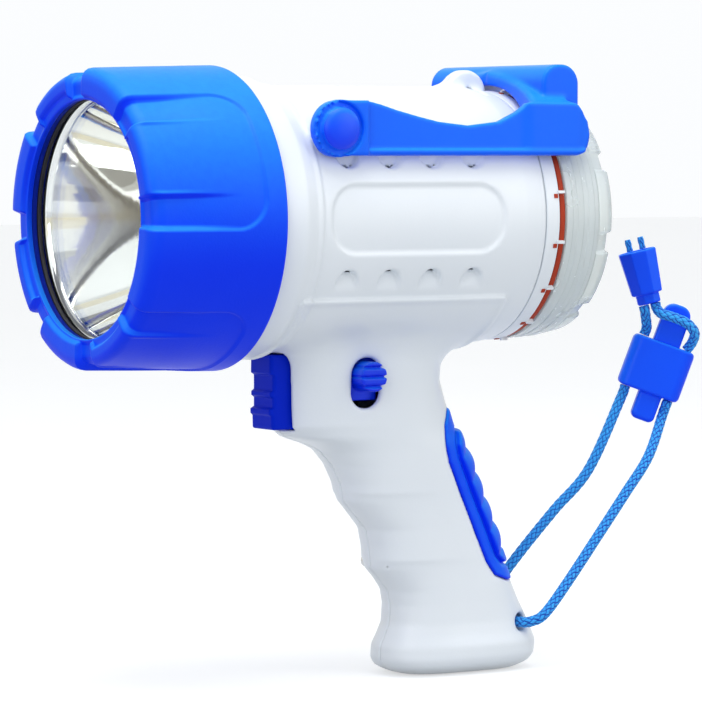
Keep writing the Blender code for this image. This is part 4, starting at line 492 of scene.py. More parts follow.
def group(name, numbers, colours=(), outputs=()):
    """An empty node group with its named inputs and outputs, and a function that adds a node to it."""
    tree = bpy.data.node_groups.new(name, "ShaderNodeTree")
    for label, value in colours:
        tree.interface.new_socket(label, in_out="INPUT", socket_type="NodeSocketColor").default_value = value
    for label, value in numbers:
        tree.interface.new_socket(label, in_out="INPUT", socket_type="NodeSocketFloat").default_value = value
    for label, kind in outputs:
        tree.interface.new_socket(label, in_out="OUTPUT", socket_type="NodeSocket" + kind)
    return tree, tree.nodes.new("NodeGroupInput"), tree.nodes.new("NodeGroupOutput")


def node(tree, kind, values=None, **settings):
    made = tree.nodes.new(kind)
    for key, value in settings.items():
        setattr(made, key, value)
    for socket, value in (values or {}).items():
        if isinstance(value, bpy.types.NodeSocket):
            tree.links.new(value, made.inputs[socket])
        else:
            made.inputs[socket].default_value = value
    return made


def math_node(tree, operation, *values):
    return node(tree, "ShaderNodeMath", dict(enumerate(values)), operation=operation).outputs[0]


def ramp(tree, value, low, high):
    """0 below low, 1 above high, smooth between."""
    made = node(tree, "ShaderNodeMapRange", {"Value": value, "From Min": low, "From Max": high},
                interpolation_type="SMOOTHSTEP")
    return made.outputs[0]


def noise(tree, place, scale, detail=2.0, roughness=0.5):
    return node(tree, "ShaderNodeTexNoise", {"Vector": place, "Scale": scale, "Detail": detail,
                                             "Roughness": roughness}).outputs[0]


def moulded_group():
    """Colour that drifts a little, fine grain, faint scuffs, and on what faces up a mix toward a second colour: dust
    on most finishes, and on the blue plastics a painted sheen that stands in for the top light.
    """
    tree, given, result = group(
        "moulded_surface", (("Drift", 0.06), ("Grain Scale", 900.0), ("Roughness", 0.4), ("Scuffs", 0.1),
                            ("Dust And Sheen", 0.05)),
        (("Colour", (0.8, 0.8, 0.8, 1.0)), ("Deep Colour", (0.7, 0.7, 0.7, 1.0)),
         ("Dust And Sheen Colour", (0.72, 0.72, 0.70, 1.0))),
        (("Colour", "Color"), ("Roughness", "Float"), ("Height", "Float")))
    place = node(tree, "ShaderNodeTexCoord").outputs["Object"]
    drift = ramp(tree, noise(tree, place, DRIFT_SCALE, 3.0), *DRIFT_RANGE)
    share = math_node(tree, "MULTIPLY", drift, given.outputs["Drift"])
    toned = node(tree, "ShaderNodeMix", {0: share, 6: given.outputs["Colour"], 7: given.outputs["Deep Colour"]},
                 data_type="RGBA")
    grain = noise(tree, place, given.outputs["Grain Scale"], 1.0)
    streaks = node(tree, "ShaderNodeMapping", {"Vector": place, "Scale": STREAK_SCALES}).outputs[0]
    scuff = ramp(tree, noise(tree, streaks, 1.0, 4.0, 0.7), *SCUFF_RANGE)
    scuff = math_node(tree, "MULTIPLY", scuff, given.outputs["Scuffs"])
    # Where the surface faces up it mixes toward the second colour: painted sheen of the top light on the blue
    # plastics, grey dust on the rest.
    facing = node(tree, "ShaderNodeSeparateXYZ", {0: node(tree, "ShaderNodeNewGeometry").outputs["Normal"]})
    speckle = math_node(tree, "MULTIPLY_ADD", noise(tree, place, SPECKLE_SCALE, 3.0), SPECKLE_SPAN, SPECKLE_LOW)
    dust_and_sheen_mask = math_node(tree, "MULTIPLY", ramp(tree, facing.outputs[2], *UP_FACING_RANGE), speckle)
    dust_and_sheen = math_node(tree, "MULTIPLY", dust_and_sheen_mask, given.outputs["Dust And Sheen"])
    dust_and_sheen_mixed = node(tree, "ShaderNodeMix", {0: dust_and_sheen, 6: toned.outputs[2], 7: given.outputs["Dust And Sheen Colour"]},
                 data_type="RGBA")
    rough = math_node(tree, "ADD", given.outputs["Roughness"], scuff)
    patch = math_node(tree, "MULTIPLY_ADD", noise(tree, place, PATCH_SCALE), PATCH_SPAN, PATCH_LOW)
    rough = math_node(tree, "ADD", rough, patch)
    tree.links.new(dust_and_sheen_mixed.outputs[2], result.inputs["Colour"])
    tree.links.new(rough, result.inputs["Roughness"])
    tree.links.new(grain, result.inputs["Height"])
    return tree


def braid_group():
    """Plaited strands from the cord's own map: u round it, v along it in plait lengths. Colour runs from the lit
    colour on the strand crowns to the deep colour in the gaps, a painted highlight and painted shade, with a random
    tone for each strand.
    """
    tree, given, result = group(
        "braid", (("Strands", float(BRAID_STRANDS)),),
        (("Lit", (0.1, 0.4, 0.9, 1.0)), ("Deep", (0.0, 0.1, 0.5, 1.0))),
        (("Colour", "Color"), ("Height", "Float")))
    spot = node(tree, "ShaderNodeSeparateXYZ", {0: node(tree, "ShaderNodeUVMap", uv_map="UVMap").outputs[0]})
    turn = math_node(tree, "MULTIPLY", spot.outputs[0], given.outputs["Strands"])
    right = math_node(tree, "ADD", turn, spot.outputs[1])
    left = math_node(tree, "SUBTRACT", turn, spot.outputs[1])
    across = [math_node(tree, "ABSOLUTE", math_node(tree, "SINE", math_node(tree, "MULTIPLY", v, math.pi)))
              for v in (right, left)]
    cells = math_node(tree, "ADD", math_node(tree, "FLOOR", right), math_node(tree, "FLOOR", left))
    over = math_node(tree, "FLOORED_MODULO", cells, 2.0)
    strand = node(tree, "ShaderNodeMix", {0: over, 2: across[0], 3: across[1]}, data_type="FLOAT").outputs[0]
    along = node(tree, "ShaderNodeMix", {0: over, 2: right, 3: left}, data_type="FLOAT").outputs[0]
    yarn = math_node(tree, "ABSOLUTE", math_node(tree, "SINE", math_node(tree, "MULTIPLY", along, YARNS * math.pi)))
    fibre = math_node(tree, "MULTIPLY_ADD", yarn, YARN_SHARE, strand)
    each = node(tree, "ShaderNodeTexWhiteNoise", {"W": cells}, noise_dimensions="1D").outputs[0]
    lit = math_node(tree, "MULTIPLY_ADD", each, STRAND_DRIFT, math_node(tree, "MULTIPLY", fibre, FIBRE_SHARE))
    colour = node(tree, "ShaderNodeMix", {0: ramp(tree, lit, *LIT_RANGE), 6: given.outputs["Deep"],
                                          7: given.outputs["Lit"]}, data_type="RGBA")
    tree.links.new(colour.outputs[2], result.inputs["Colour"])
    tree.links.new(fibre, result.inputs["Height"])
    return tree


MOULDED = moulded_group()
BRAID = braid_group()


def plain_material(name, **values):
    made = bpy.data.materials.new(name)
    made.use_nodes = True
    shader = made.node_tree.nodes["Principled BSDF"]
    for key, value in values.items():
        shader.inputs[key.replace("_", " ")].default_value = value
    return made, made.node_tree, shader


# The bloom amount and colour set what up-facing surfaces mix toward: dust, or on the blue plastics a painted sheen of
# the top light.
def moulded(name, colour, deep, roughness, grain=900.0, bump=0.08, drift=0.5, scuffs=0.12, dust_and_sheen=0.05,
            dust_and_sheen_colour=(0.72, 0.72, 0.70), **values):
    """A material whose colour, roughness and fine relief come from the moulded surface group."""
    made, tree, shader = plain_material(name, **values)
    made.diffuse_color = (*colour, 1)
    surface = node(tree, "ShaderNodeGroup", node_tree=MOULDED)
    for label, value in (("Colour", (*colour, 1)), ("Deep Colour", (*deep, 1)), ("Drift", drift),
                         ("Grain Scale", grain), ("Roughness", roughness), ("Scuffs", scuffs),
                         ("Dust And Sheen", dust_and_sheen), ("Dust And Sheen Colour", (*dust_and_sheen_colour, 1))):
        surface.inputs[label].default_value = value
    relief = node(tree, "ShaderNodeBump", {"Height": surface.outputs["Height"], "Strength": bump,
                                           "Distance": 0.0003})
    tree.links.new(surface.outputs["Colour"], shader.inputs["Base Color"])
    tree.links.new(surface.outputs["Roughness"], shader.inputs["Roughness"])
    tree.links.new(relief.outputs[0], shader.inputs["Normal"])
    return made


# lit is the painted highlight on the strand crowns, deep the painted shade in the gaps between strands.
def braid_material(name, lit, deep):
    made, tree, shader = plain_material(name, Roughness=0.62, Sheen_Weight=0.12, Specular_IOR_Level=0.25)
    surface = node(tree, "ShaderNodeGroup", node_tree=BRAID)
    surface.inputs["Lit"].default_value = (*lit, 1)
    surface.inputs["Deep"].default_value = (*deep, 1)
    relief = node(tree, "ShaderNodeBump", {"Height": surface.outputs["Height"], "Strength": 0.8,
                                           "Distance": 0.0002})
    tree.links.new(surface.outputs["Colour"], shader.inputs["Base Color"])
    tree.links.new(relief.outputs[0], shader.inputs["Normal"])
    return made


WHITE_SHELL = moulded("white_shell", (0.80, 0.85, 0.90), (0.75, 0.81, 0.87), 0.36, bump=0.05,
                      Coat_Weight=0.12, Coat_Roughness=0.25)
# Painted sheen: the pale azure that the blue plastics take where they face up, in place of the top light's gloss.
PAINTED_SHEEN_AZURE = (0.02, 0.33, 1.00)
BLUE_RUBBER = moulded("blue_rubber", (0.000, 0.040, 0.96), (0.000, 0.028, 0.86), 0.44, grain=1400.0, bump=0.14,
                      dust_and_sheen=0.75, dust_and_sheen_colour=PAINTED_SHEEN_AZURE, Specular_IOR_Level=0.12)
BLUE_PLASTIC = moulded("blue_plastic", (0.000, 0.120, 1.00), (0.000, 0.095, 0.95), 0.36, bump=0.05,
                       dust_and_sheen=0.70, dust_and_sheen_colour=PAINTED_SHEEN_AZURE, Specular_IOR_Level=0.16)
LOCK_PLASTIC = moulded("lock_plastic", (0.000, 0.065, 1.00), (0.000, 0.045, 0.92), 0.34, bump=0.06,
                       dust_and_sheen=0.55, dust_and_sheen_colour=PAINTED_SHEEN_AZURE, Specular_IOR_Level=0.18)
CAP_PLASTIC = moulded("cap_plastic", (0.000, 0.050, 0.97), (0.000, 0.036, 0.88), 0.34, bump=0.05,
                      dust_and_sheen=0.60, dust_and_sheen_colour=PAINTED_SHEEN_AZURE, Specular_IOR_Level=0.25)
KNOB_PLASTIC = moulded("knob_plastic", (0.000, 0.028, 0.86), (0.000, 0.020, 0.74), 0.34, bump=0.05,
                       dust_and_sheen=0.30, dust_and_sheen_colour=PAINTED_SHEEN_AZURE, Specular_IOR_Level=0.22)
DARK_BLUE = moulded("dark_blue_plastic", (0.000, 0.020, 0.60), (0.000, 0.014, 0.50), 0.40, bump=0.06, dust_and_sheen=0.0,
                    Specular_IOR_Level=0.05)
# Cord colours: painted highlight on the strand crowns, painted shade in the gaps between them.
BLUE_BRAID = braid_material("blue_braid", (0.04, 0.42, 1.00), (0.000, 0.020, 0.44))
RED_SEAL = moulded("red_silicone", (0.42, 0.040, 0.012), (0.28, 0.024, 0.008), 0.55, dust_and_sheen=0.0,
                   Specular_IOR_Level=0.20)
BLACK_RUBBER = moulded("black_rubber", (0.012, 0.012, 0.018), (0.006, 0.006, 0.012), 0.60)
NAVY_PLASTIC = moulded("navy_plastic", (0.000, 0.016, 0.36), (0.000, 0.010, 0.26), 0.42, dust_and_sheen=0.0,
                       Specular_IOR_Level=0.15)
BLACK_PLASTIC = moulded("black_plastic", (0.02, 0.02, 0.024), (0.012, 0.012, 0.016), 0.42)
CELL_WRAP = moulded("cell_sleeve", (0.03, 0.20, 0.36), (0.02, 0.14, 0.28), 0.30, bump=0.02)
WIRE_SLEEVE = moulded("wire_sleeve", (0.46, 0.05, 0.03), (0.36, 0.03, 0.02), 0.45)
CIRCUIT_BOARD = moulded("circuit_board", (0.02, 0.17, 0.07), (0.012, 0.10, 0.045), 0.42, grain=2600.0)
STEEL = moulded("plated_steel", (0.56, 0.57, 0.59), (0.46, 0.47, 0.50), 0.28, grain=2400.0, Metallic=1.0)
ALUMINIUM = moulded("aluminium", (0.70, 0.71, 0.73), (0.60, 0.61, 0.64), 0.36, grain=2000.0, Metallic=1.0)
BRASS = moulded("brass_contact", (0.70, 0.48, 0.19), (0.56, 0.36, 0.13), 0.30, Metallic=1.0)
CHROME = moulded("reflector_chrome", (0.93, 0.945, 0.925), (0.89, 0.895, 0.86), 0.03, grain=300.0, bump=0.02,
                 scuffs=0.03, dust_and_sheen=0.0, Metallic=1.0)
PHOSPHOR = moulded("led_phosphor", (0.86, 0.74, 0.20), (0.80, 0.62, 0.12), 0.30)
LENS_PLASTIC = moulded("lens_plastic", (0.96, 0.97, 0.97), (0.93, 0.95, 0.96), 0.03, grain=200.0, bump=0.01,
                       scuffs=0.02, dust_and_sheen=0.0, Transmission_Weight=1.0, IOR=1.49)
CLEAR_PLASTIC = moulded("clear_plastic", (0.88, 0.94, 0.95), (0.79, 0.87, 0.89), 0.26, grain=500.0, bump=0.10,
                        drift=0.7, dust_and_sheen=0.0, Transmission_Weight=0.45, IOR=1.49)


def link(ob):
    bpy.context.scene.collection.objects.link(ob)
    return ob


def piece(name, points, faces, material, smooth=True):
    """A mesh object from arrays of points, in the beam-axis frame, and of four-cornered faces."""
    mesh = bpy.data.meshes.new(name)
    points = np.asarray(points, dtype=np.float64) + AXIS_PLACE
    faces = np.asarray(faces, dtype=np.int32)
    mesh.vertices.add(len(points))
    mesh.vertices.foreach_set("co", points.ravel())
    mesh.loops.add(faces.size)
    mesh.loops.foreach_set("vertex_index", faces.ravel())
    mesh.polygons.add(len(faces))
    mesh.polygons.foreach_set("loop_start", np.arange(0, faces.size, faces.shape[1], dtype=np.int32))
    mesh.update(calc_edges=True)
    mesh.validate()
    mesh.polygons.foreach_set("use_smooth", np.full(len(mesh.polygons), smooth))
    mesh.materials.append(material)
    return link(bpy.data.objects.new(name, mesh))


def eased(value):
    value = np.clip(value, 0, 1)
    return value * value * (3 - 2 * value)


def either(a, b, round_by=0.0):
    """Union of two fields, with a fillet."""
    if not round_by:
        return np.minimum(a, b)
    share = np.clip(0.5 + 0.5 * (b - a) / round_by, 0, 1)
    return b + (a - b) * share - round_by * share * (1 - share)


def both(a, b, round_by=SOFT_EDGE):
    """What two fields share, with a rounded edge."""
    return -either(-a, -b, round_by)


def without(a, b, round_by=SOFT_EDGE):
    return both(a, -b, round_by)


def slab(v, low, high):
    return np.maximum(low - v, v - high)


def box_field(u, v, us, vs, corner):
    """Rounded rectangle in two directions."""
    across = np.abs(u - (us[0] + us[1]) / 2) - (us[1] - us[0]) / 2 + corner
    up = np.abs(v - (vs[0] + vs[1]) / 2) - (vs[1] - vs[0]) / 2 + corner
    return np.hypot(np.maximum(across, 0), np.maximum(up, 0)) + np.minimum(np.maximum(across, up), 0) - corner


def outline_field(u, v, points):
    """Distance to a closed outline, below zero inside it."""
    near = np.float32(1)
    side = np.float32(1)
    for (au, av), (bu, bv) in zip(points, list(points[1:]) + [points[0]]):
        eu, ev = bu - au, bv - av
        wu, wv = u - au, v - av
        share = np.clip((wu * eu + wv * ev) / (eu * eu + ev * ev), 0, 1)
        near = np.minimum(near, (wu - eu * share) ** 2 + (wv - ev * share) ** 2)
        above, below, left = v >= av, v < bv, eu * wv > ev * wu
        crossing = (above & below & left) | ~(above | below | left)
        side = np.where(crossing, -side, side)
    return side * np.sqrt(near)


def skin(name, field, low, high, cell, material, place=None, settle=3):
    """The closed surface where a field is zero, as an even net of quads drawn onto it."""
    axes = [np.arange(a - 2 * cell, b + 3 * cell, cell, dtype=np.float32) for a, b in zip(low, high)]
    values = field(axes[0][:, None, None], axes[1][None, :, None], axes[2][None, None, :])
    values = np.broadcast_to(values, [len(a) for a in axes]).astype(np.float32)
    inside = values < 0
    counts = [n - 1 for n in inside.shape]
    corners = [(i, j, k) for i in (0, 1) for j in (0, 1) for k in (0, 1)]
    total = sum(inside[i:i + counts[0], j:j + counts[1], k:k + counts[2]].astype(np.int8) for i, j, k in corners)
    cells = np.stack(np.nonzero((total > 0) & (total < 8)), 1)
    numbers = np.full(counts, -1, dtype=np.int32)
    numbers[tuple(cells.T)] = np.arange(len(cells))
    at = {c: values[tuple((cells + c).T)] for c in corners}
    points = np.zeros((len(cells), 3), dtype=np.float32)
    crossings = np.zeros((len(cells), 1), dtype=np.float32)
    for a in corners:
        for b in corners:
            if a < b and sum(abs(p - q) for p, q in zip(a, b)) == 1:
                crossed = (at[a] < 0) != (at[b] < 0)
                share = np.where(crossed, at[a] / np.where(crossed, at[a] - at[b], 1), 0)[:, None]
                start, end = np.array(a, np.float32), np.array(b, np.float32)
                points += np.where(crossed[:, None], start + (end - start) * share, 0)
                crossings += crossed[:, None]
    points = (cells + points / crossings) * cell + np.array([a[0] for a in axes], np.float32)
    faces = []
    for turn in ((0, 1, 2), (1, 2, 0), (2, 0, 1)):
        solid, number = inside.transpose(turn), numbers.transpose(turn)
        i, j, k = np.nonzero(solid[:-1, 1:-1, 1:-1] != solid[1:, 1:-1, 1:-1])
        outward = solid[i, j + 1, k + 1][:, None]
        quad = np.stack([number[i, j, k], number[i, j + 1, k], number[i, j + 1, k + 1], number[i, j, k + 1]], 1)
        faces.append(np.where(outward, quad, quad[:, ::-1]))
    points = points.astype(np.float64)
    step = cell / 8
    for _ in range(settle):
        value = np.broadcast_to(field(*points.T), len(points))
        slope = np.stack([np.broadcast_to(field(*(points + step * e).T), len(points)) - value
                          for e in np.eye(3)], 1) / step
        length = np.maximum((slope ** 2).sum(1), 0.04)
        move = -(value / length)[:, None] * slope
        points += np.clip(move, -cell / 2, cell / 2)
    if place is not None:
        points = points @ np.array(place.to_3x3()).T + np.array(place.translation)
    return piece(name, points, np.concatenate(faces), material)


def rounded(corners, steps=ARC_STEPS):
    """A closed outline with each corner turned to an arc. A corner is x, radius and its rounding."""
    result = []
    count = len(corners)
    for i, (x, r, rounding) in enumerate(corners):
        here = np.array((x, r))
        before = np.array(corners[i - 1][:2]) - here
        after = np.array(corners[(i + 1) % count][:2]) - here
        reach = min(rounding, np.linalg.norm(before) * 0.49, np.linalg.norm(after) * 0.49)
        a = here + before / np.linalg.norm(before) * reach
        b = here + after / np.linalg.norm(after) * reach
        for t in np.linspace(0, 1, steps):
            result.append(a * (1 - t) ** 2 + here * 2 * t * (1 - t) + b * t * t)
    return np.array(result)


def even(outline, step):
    """More points on the long stretches of a closed outline."""
    result = []
    for a, b in zip(outline, np.roll(outline, -1, 0)):
        parts = max(1, int(np.linalg.norm(b - a) / step))
        result += [a + (b - a) * i / parts for i in range(parts)]
    return np.array(result)


def grid_faces(rows, columns, wrap_rows=True, wrap_columns=True):
    i = np.arange(rows if wrap_rows else rows - 1)
    j = np.arange(columns if wrap_columns else columns - 1)
    i, j = [v.ravel() for v in np.meshgrid(i, j, indexing="ij")]
    ni, nj = (i + 1) % rows, (j + 1) % columns
    return np.stack([i * columns + j, i * columns + nj, ni * columns + nj, ni * columns + j], 1)


def turned(name, corners, material, middle=(0, 0, 0), along="x", steps=TURN_STEPS, step=0.004, arcs=ARC_STEPS):
    """An outline of x, radius and rounding, turned about a line along x or y. Radius zero closes on that line."""
    ring = even(rounded(corners, arcs), step)
    ring[:, 1] = np.maximum(ring[:, 1], 0)
    angles = np.linspace(0, 2 * math.pi, steps, endpoint=False)
    x = np.broadcast_to(ring[None, :, 0], (steps, len(ring)))
    c, s = np.cos(angles)[:, None] * ring[None, :, 1], np.sin(angles)[:, None] * ring[None, :, 1]
    points = np.stack([x, c, s] if along == "x" else [s, x, c], -1).reshape(-1, 3) + np.array(middle)
    return mend(piece(name, points, grid_faces(steps, len(ring)), material), merge_poles)


def mend(ob, change):
    """Lets a function change the object's mesh, then turns every face outwards."""
    work = bmesh.new()
    work.from_mesh(ob.data)
    change(work)
    bmesh.ops.recalc_face_normals(work, faces=work.faces)
    work.to_mesh(ob.data)
    work.free()
    ob.data.update()
    return ob


def merge_poles(work):
    """Merges the points that meet on the turning line."""
    bmesh.ops.remove_doubles(work, verts=work.verts, dist=1e-6)
    bmesh.ops.dissolve_degenerate(work, edges=work.edges, dist=1e-7)


def fill_ends(work):
    """Closes the open ends of a tube."""
    bmesh.ops.holes_fill(work, edges=[e for e in work.edges if e.is_boundary], sides=0)


def filled(corners, parts):
    """A rounded outline with each straight stretch cut into its number of parts."""
    arcs = rounded(corners).reshape(len(corners), ARC_STEPS, 2)
    line = []
    for i, arc in enumerate(arcs):
        after = arcs[(i + 1) % len(arcs)][0]
        line += list(arc) + list(np.linspace(arc[-1], after, parts[i] + 1)[1:-1])
    return np.array(line)


def ring_piece(name, x, r, degrees, material):
    """A closed ring about the beam axis, from a row of outline points at each angle."""
    a = np.radians(degrees)[:, None]
    points = np.stack([x, -r * np.cos(a), r * np.sin(a)], -1).reshape(-1, 3)
    return piece(name, points, grid_faces(*x.shape), material)


def smooth_table(shares):
    """Grip stations as an even, smoothed table: height, front, rear and half width."""
    rows = np.array(shares)
    z = -BARREL_RADIUS - GRIP_LENGTH * rows[:, 0]
    columns = [GRIP_FRONT_X + GRIP_REACH * rows[:, 1], GRIP_FRONT_X + GRIP_REACH * rows[:, 2],
               GRIP_HALF_WIDTH * rows[:, 3]]
    even_z = np.linspace(z[-1], z[0], GRIP_TABLE_STEPS)
    width = max(3, int(GRIP_SMOOTHING / (even_z[1] - even_z[0]))) | 1
    window = np.hanning(width + 2)[1:-1]
    window /= window.sum()
    smoothed = []
    for column in columns:
        values = np.interp(even_z, z[::-1], column[::-1])
        padded = np.pad(values, width // 2, mode="reflect", reflect_type="odd")
        smoothed.append(np.convolve(padded, window, mode="valid"))
    return even_z, smoothed


GRIP_Z, GRIP_COLUMNS = smooth_table(GRIP_SHARES)


def on_grip(shares):
    return [(GRIP_FRONT_X + GRIP_REACH * reach, -BARREL_RADIUS - GRIP_LENGTH * depth) for reach, depth in shares]


def grip_field(x, y, z, outward=0.0, rear_inset=0.0):
    """Grip without its details: a squared oval at each height, grown outwards or drawn in."""
    front, rear, half = [np.interp(z, GRIP_Z, column) for column in GRIP_COLUMNS]
    middle, reach = (front + rear - rear_inset) / 2, (rear - front - rear_inset) / 2 + outward
    half = half + outward
    n = GRIP_SQUARENESS
    u, v = np.abs(x - middle) / reach + GRIP_MIDDLE_GUARD, np.abs(y) / half + GRIP_MIDDLE_GUARD
    size = (u ** n + v ** n) ** (1 / n)
    slope = size ** (1 - n) * np.sqrt((u ** (n - 1) / reach) ** 2 + (v ** (n - 1) / half) ** 2)
    return (size - 1) / slope


def flank_radius(x, z):
    """Outside radius of the barrel: flare, ridge, rear taper, thick lower skin and side panel."""
    stations = (0, FLARE_END_X, RIDGE_X - RIDGE_RISE, RIDGE_X, RIDGE_X + RIDGE_FALL, BARREL_WAIST_X, BARREL_REAR_X)
    radius = np.interp(x, stations, (FLARE_RADIUS, FLARE_RADIUS - FLARE_TAPER, RIDGE_RADIUS, RIDGE_RADIUS,
                                     BARREL_RADIUS, BARREL_RADIUS, BARREL_REAR_RADIUS))
    ledge = box_field(x, z, LEDGE_X, (-AXIS_HEIGHT, LEDGE_Z), LEDGE_CORNER)
    bead = np.exp(-((ledge + LEDGE_BEAD_DROP) / LEDGE_BEAD_WIDTH) ** 2)
    panel = box_field(x, z, PANEL_X, (-PANEL_HALF_HEIGHT, PANEL_HALF_HEIGHT), PANEL_CORNER)
    return (radius + LEDGE_STEP * eased(-ledge / MARK_EDGE) + LEDGE_BEAD * bead
            - PANEL_DEPTH * eased(0.5 - panel / MARK_EDGE / PANEL_EDGE_SHARE))


def scallop_field(x, wide, z):
    """Two rows of pockets, each a half round that runs out toward the panel."""
    near = np.float32(1)
    for i in range(SCALLOP_COUNT):
        down = np.minimum(np.abs(z) - SCALLOP_Z, 0)
        near = np.minimum(near, np.hypot(x - SCALLOP_START_X - SCALLOP_PITCH * i, down))
    pocket = np.maximum(near - SCALLOP_RADIUS, SCALLOP_Z - SCALLOP_RADIUS * 2 - np.abs(z))
    return both(pocket, SCALLOP_FLOOR_Y - wide, FULL_EDGE)


def ear_field(x, y, z):
    """Cord ear on top: a dished disc on a foot."""
    ex, ez = EAR_AT
    disc = np.hypot(x - ex, z - ez) - EAR_RADIUS
    (foot_low, foot_high), (back, up) = EAR_FOOT_Z, EAR_BACK_SHARES
    outline = [(ex - EAR_FOOT_LENGTH, foot_high), (ex - EAR_FOOT_LENGTH, foot_low), (EAR_BACK_X, foot_low),
               (EAR_BACK_X, EAR_BACK_Z), (ex + EAR_RADIUS * back, ez + EAR_RADIUS * up),
               (ex - EAR_RADIUS * EAR_FRONT_SHARE, ez + EAR_RADIUS * EAR_FRONT_SHARE)]
    shape = either(disc, outline_field(x, z, outline), FULL_EDGE)
    body = both(shape, np.abs(y) - EAR_HALF_THICKNESS, BROAD_EDGE)
    dish = np.abs(y) - EAR_HALF_THICKNESS + EAR_DISH_DEPTH * eased(1 - np.hypot(x - ex, z - ez) / EAR_DISH_RADIUS)
    return np.maximum(body, dish)


def rods(x, z, places, radius):
    """Round rods across the lamp at the given places."""
    near = np.float32(1)
    for px, pz in places:
        near = np.minimum(near, np.hypot(x - px, z - pz))
    return near - radius


def housing_field(x, y, z):
    """White shell, before it is split down the middle."""
    wide = np.abs(y)
    from_axis = np.hypot(y, z)
    barrel = both(from_axis - flank_radius(x, z), slab(x, GAP, BARREL_REAR_X))
    barrel = without(barrel, scallop_field(x, wide, z))
    dips = 0
    for share in FINGER_DIP_SHARES:
        below = np.maximum(-(z + BARREL_RADIUS + GRIP_LENGTH * share) / (GRIP_LENGTH * FINGER_DIP_WIDTH_SHARE), 0)
        dips = dips + below * np.exp(1 - below)
    front = np.interp(z, GRIP_Z, GRIP_COLUMNS[0])
    dips = dips * FINGER_DIP * eased(1 - (x - front) / FINGER_DIP_REACH) * eased(wide / FINGER_DIP_SEAM)
    grip = grip_field(x, y, z)
    foot = (grip + BASE_CHAMFER - AXIS_HEIGHT - z) * math.sqrt(0.5)
    grip = both(both(grip + dips, slab(z, -AXIS_HEIGHT, GRIP_TOP_Z)), foot, WIDE_EDGE)
    shell = either(barrel, grip, GRIP_FILLET)
    shell = either(shell, ear_field(x, y, z), EAR_FILLET)
    boss = both(rods(x, z, [PIVOT_AT], PIVOT_BOSS_RADIUS), slab(wide, PIVOT_BOSS_INNER_Y, ARM_INNER_Y - GAP))
    shell = either(shell, boss, PIVOT_BOSS_FILLET)
    shell = np.minimum(shell, both(from_axis - SPIGOT_RADIUS, slab(x, SPIGOT_FRONT_X, SPIGOT_REAR_X)))
    bore = from_axis - SPIGOT_RADIUS + WALL
    hollow = np.maximum(grip_field(x, y, z, -WALL, CAVITY_REAR_INSET) + dips, grip_field(x, y, z - WALL))
    hollow = np.maximum(hollow, slab(z, GRIP_FLOOR - AXIS_HEIGHT, CAVITY_TOP_Z))
    cavity = np.minimum(bore, hollow)
    posts = rods(x, z, on_grip(SCREW_SHARES), SCREW_BOSS_RADIUS)
    posts = np.minimum(posts, rods(x, z, [EYELET_AT], EYELET_BOSS_RADIUS))
    covered = np.maximum(grip_field(x, y, z, -WALL / 2) + dips, grip_field(x, y, z - WALL / 2))
    posts = np.maximum(posts, covered)
    for low in (BOARD_Z[0] - GAP - RAIL_THICK, BOARD_Z[1] + GAP):
        rail = np.maximum(slab(x, *RAIL_X), np.maximum(slab(wide, *RAIL_Y), slab(z, low, low + RAIL_THICK)))
        posts = np.minimum(posts, rail)
    shell = either(without(shell, cavity), posts, CRISP_EDGE)
    strap = outline_field(x, z, on_grip(STRAP_OUTLINE_SHARES)) - GAP
    shell = without(shell, np.maximum(strap, -grip_field(x, y, z, -STRAP_DEPTH - GAP)), THIN_EDGE)
    half = TRIGGER_HALF_WIDTH + GAP
    slot = box_field(x, z, TRIGGER_X, (TRIGGER_Z[0] - GAP, TRIGGER_Z[1] + GAP), FULL_EDGE)
    shell = without(shell, np.maximum(slot, wide - half), BROAD_EDGE)
    shell = without(shell, rods(x, z, [EYELET_AT], EYELET_RADIUS), EYELET_ROUND)
    shell = without(shell, rods(x, z, [EAR_AT], EAR_HOLE_RADIUS))
    pins = np.maximum(rods(x, z, [PIVOT_AT], PIN_HOLE_RADIUS), PIN_INNER_Y - wide)
    return without(shell, pins, THIN_EDGE)


def near_half(x, y, z):
    shell = housing_field(x, y, z)
    xs = (SLOT_X - SLOT_HALF_WIDTH, SLOT_X + SLOT_HALF_WIDTH)
    slot = np.maximum(box_field(x, z, xs, SLOT_Z, SLOT_HALF_WIDTH * SLOT_ROUND_SHARE), y - SLIDE_PLATE_Y)
    holes = rods(x, z, on_grip(SCREW_SHARES), SCREW_SHANK_RADIUS + GAP / 3)
    holes = both(holes, SCREW_TIP_Y - y, FULL_EDGE)
    shell = without(without(shell, slot, SLOT_DISH), holes, FINE_EDGE)
    return both(shell, y + SEAM_GAP / 2, HAIR_EDGE)


def far_half(x, y, z):
    places = on_grip(SCREW_SHARES)
    holes = rods(x, z, places, SCREW_SHANK_RADIUS + GAP)
    heads = np.maximum(rods(x, z, places, SCREW_HEAD_RADIUS + GAP / 2), SCREW_HEAD_Y - y)
    shell = without(housing_field(x, y, z), np.minimum(holes, heads), CRISP_EDGE)
    return both(shell, SEAM_GAP / 2 - y, HAIR_EDGE)


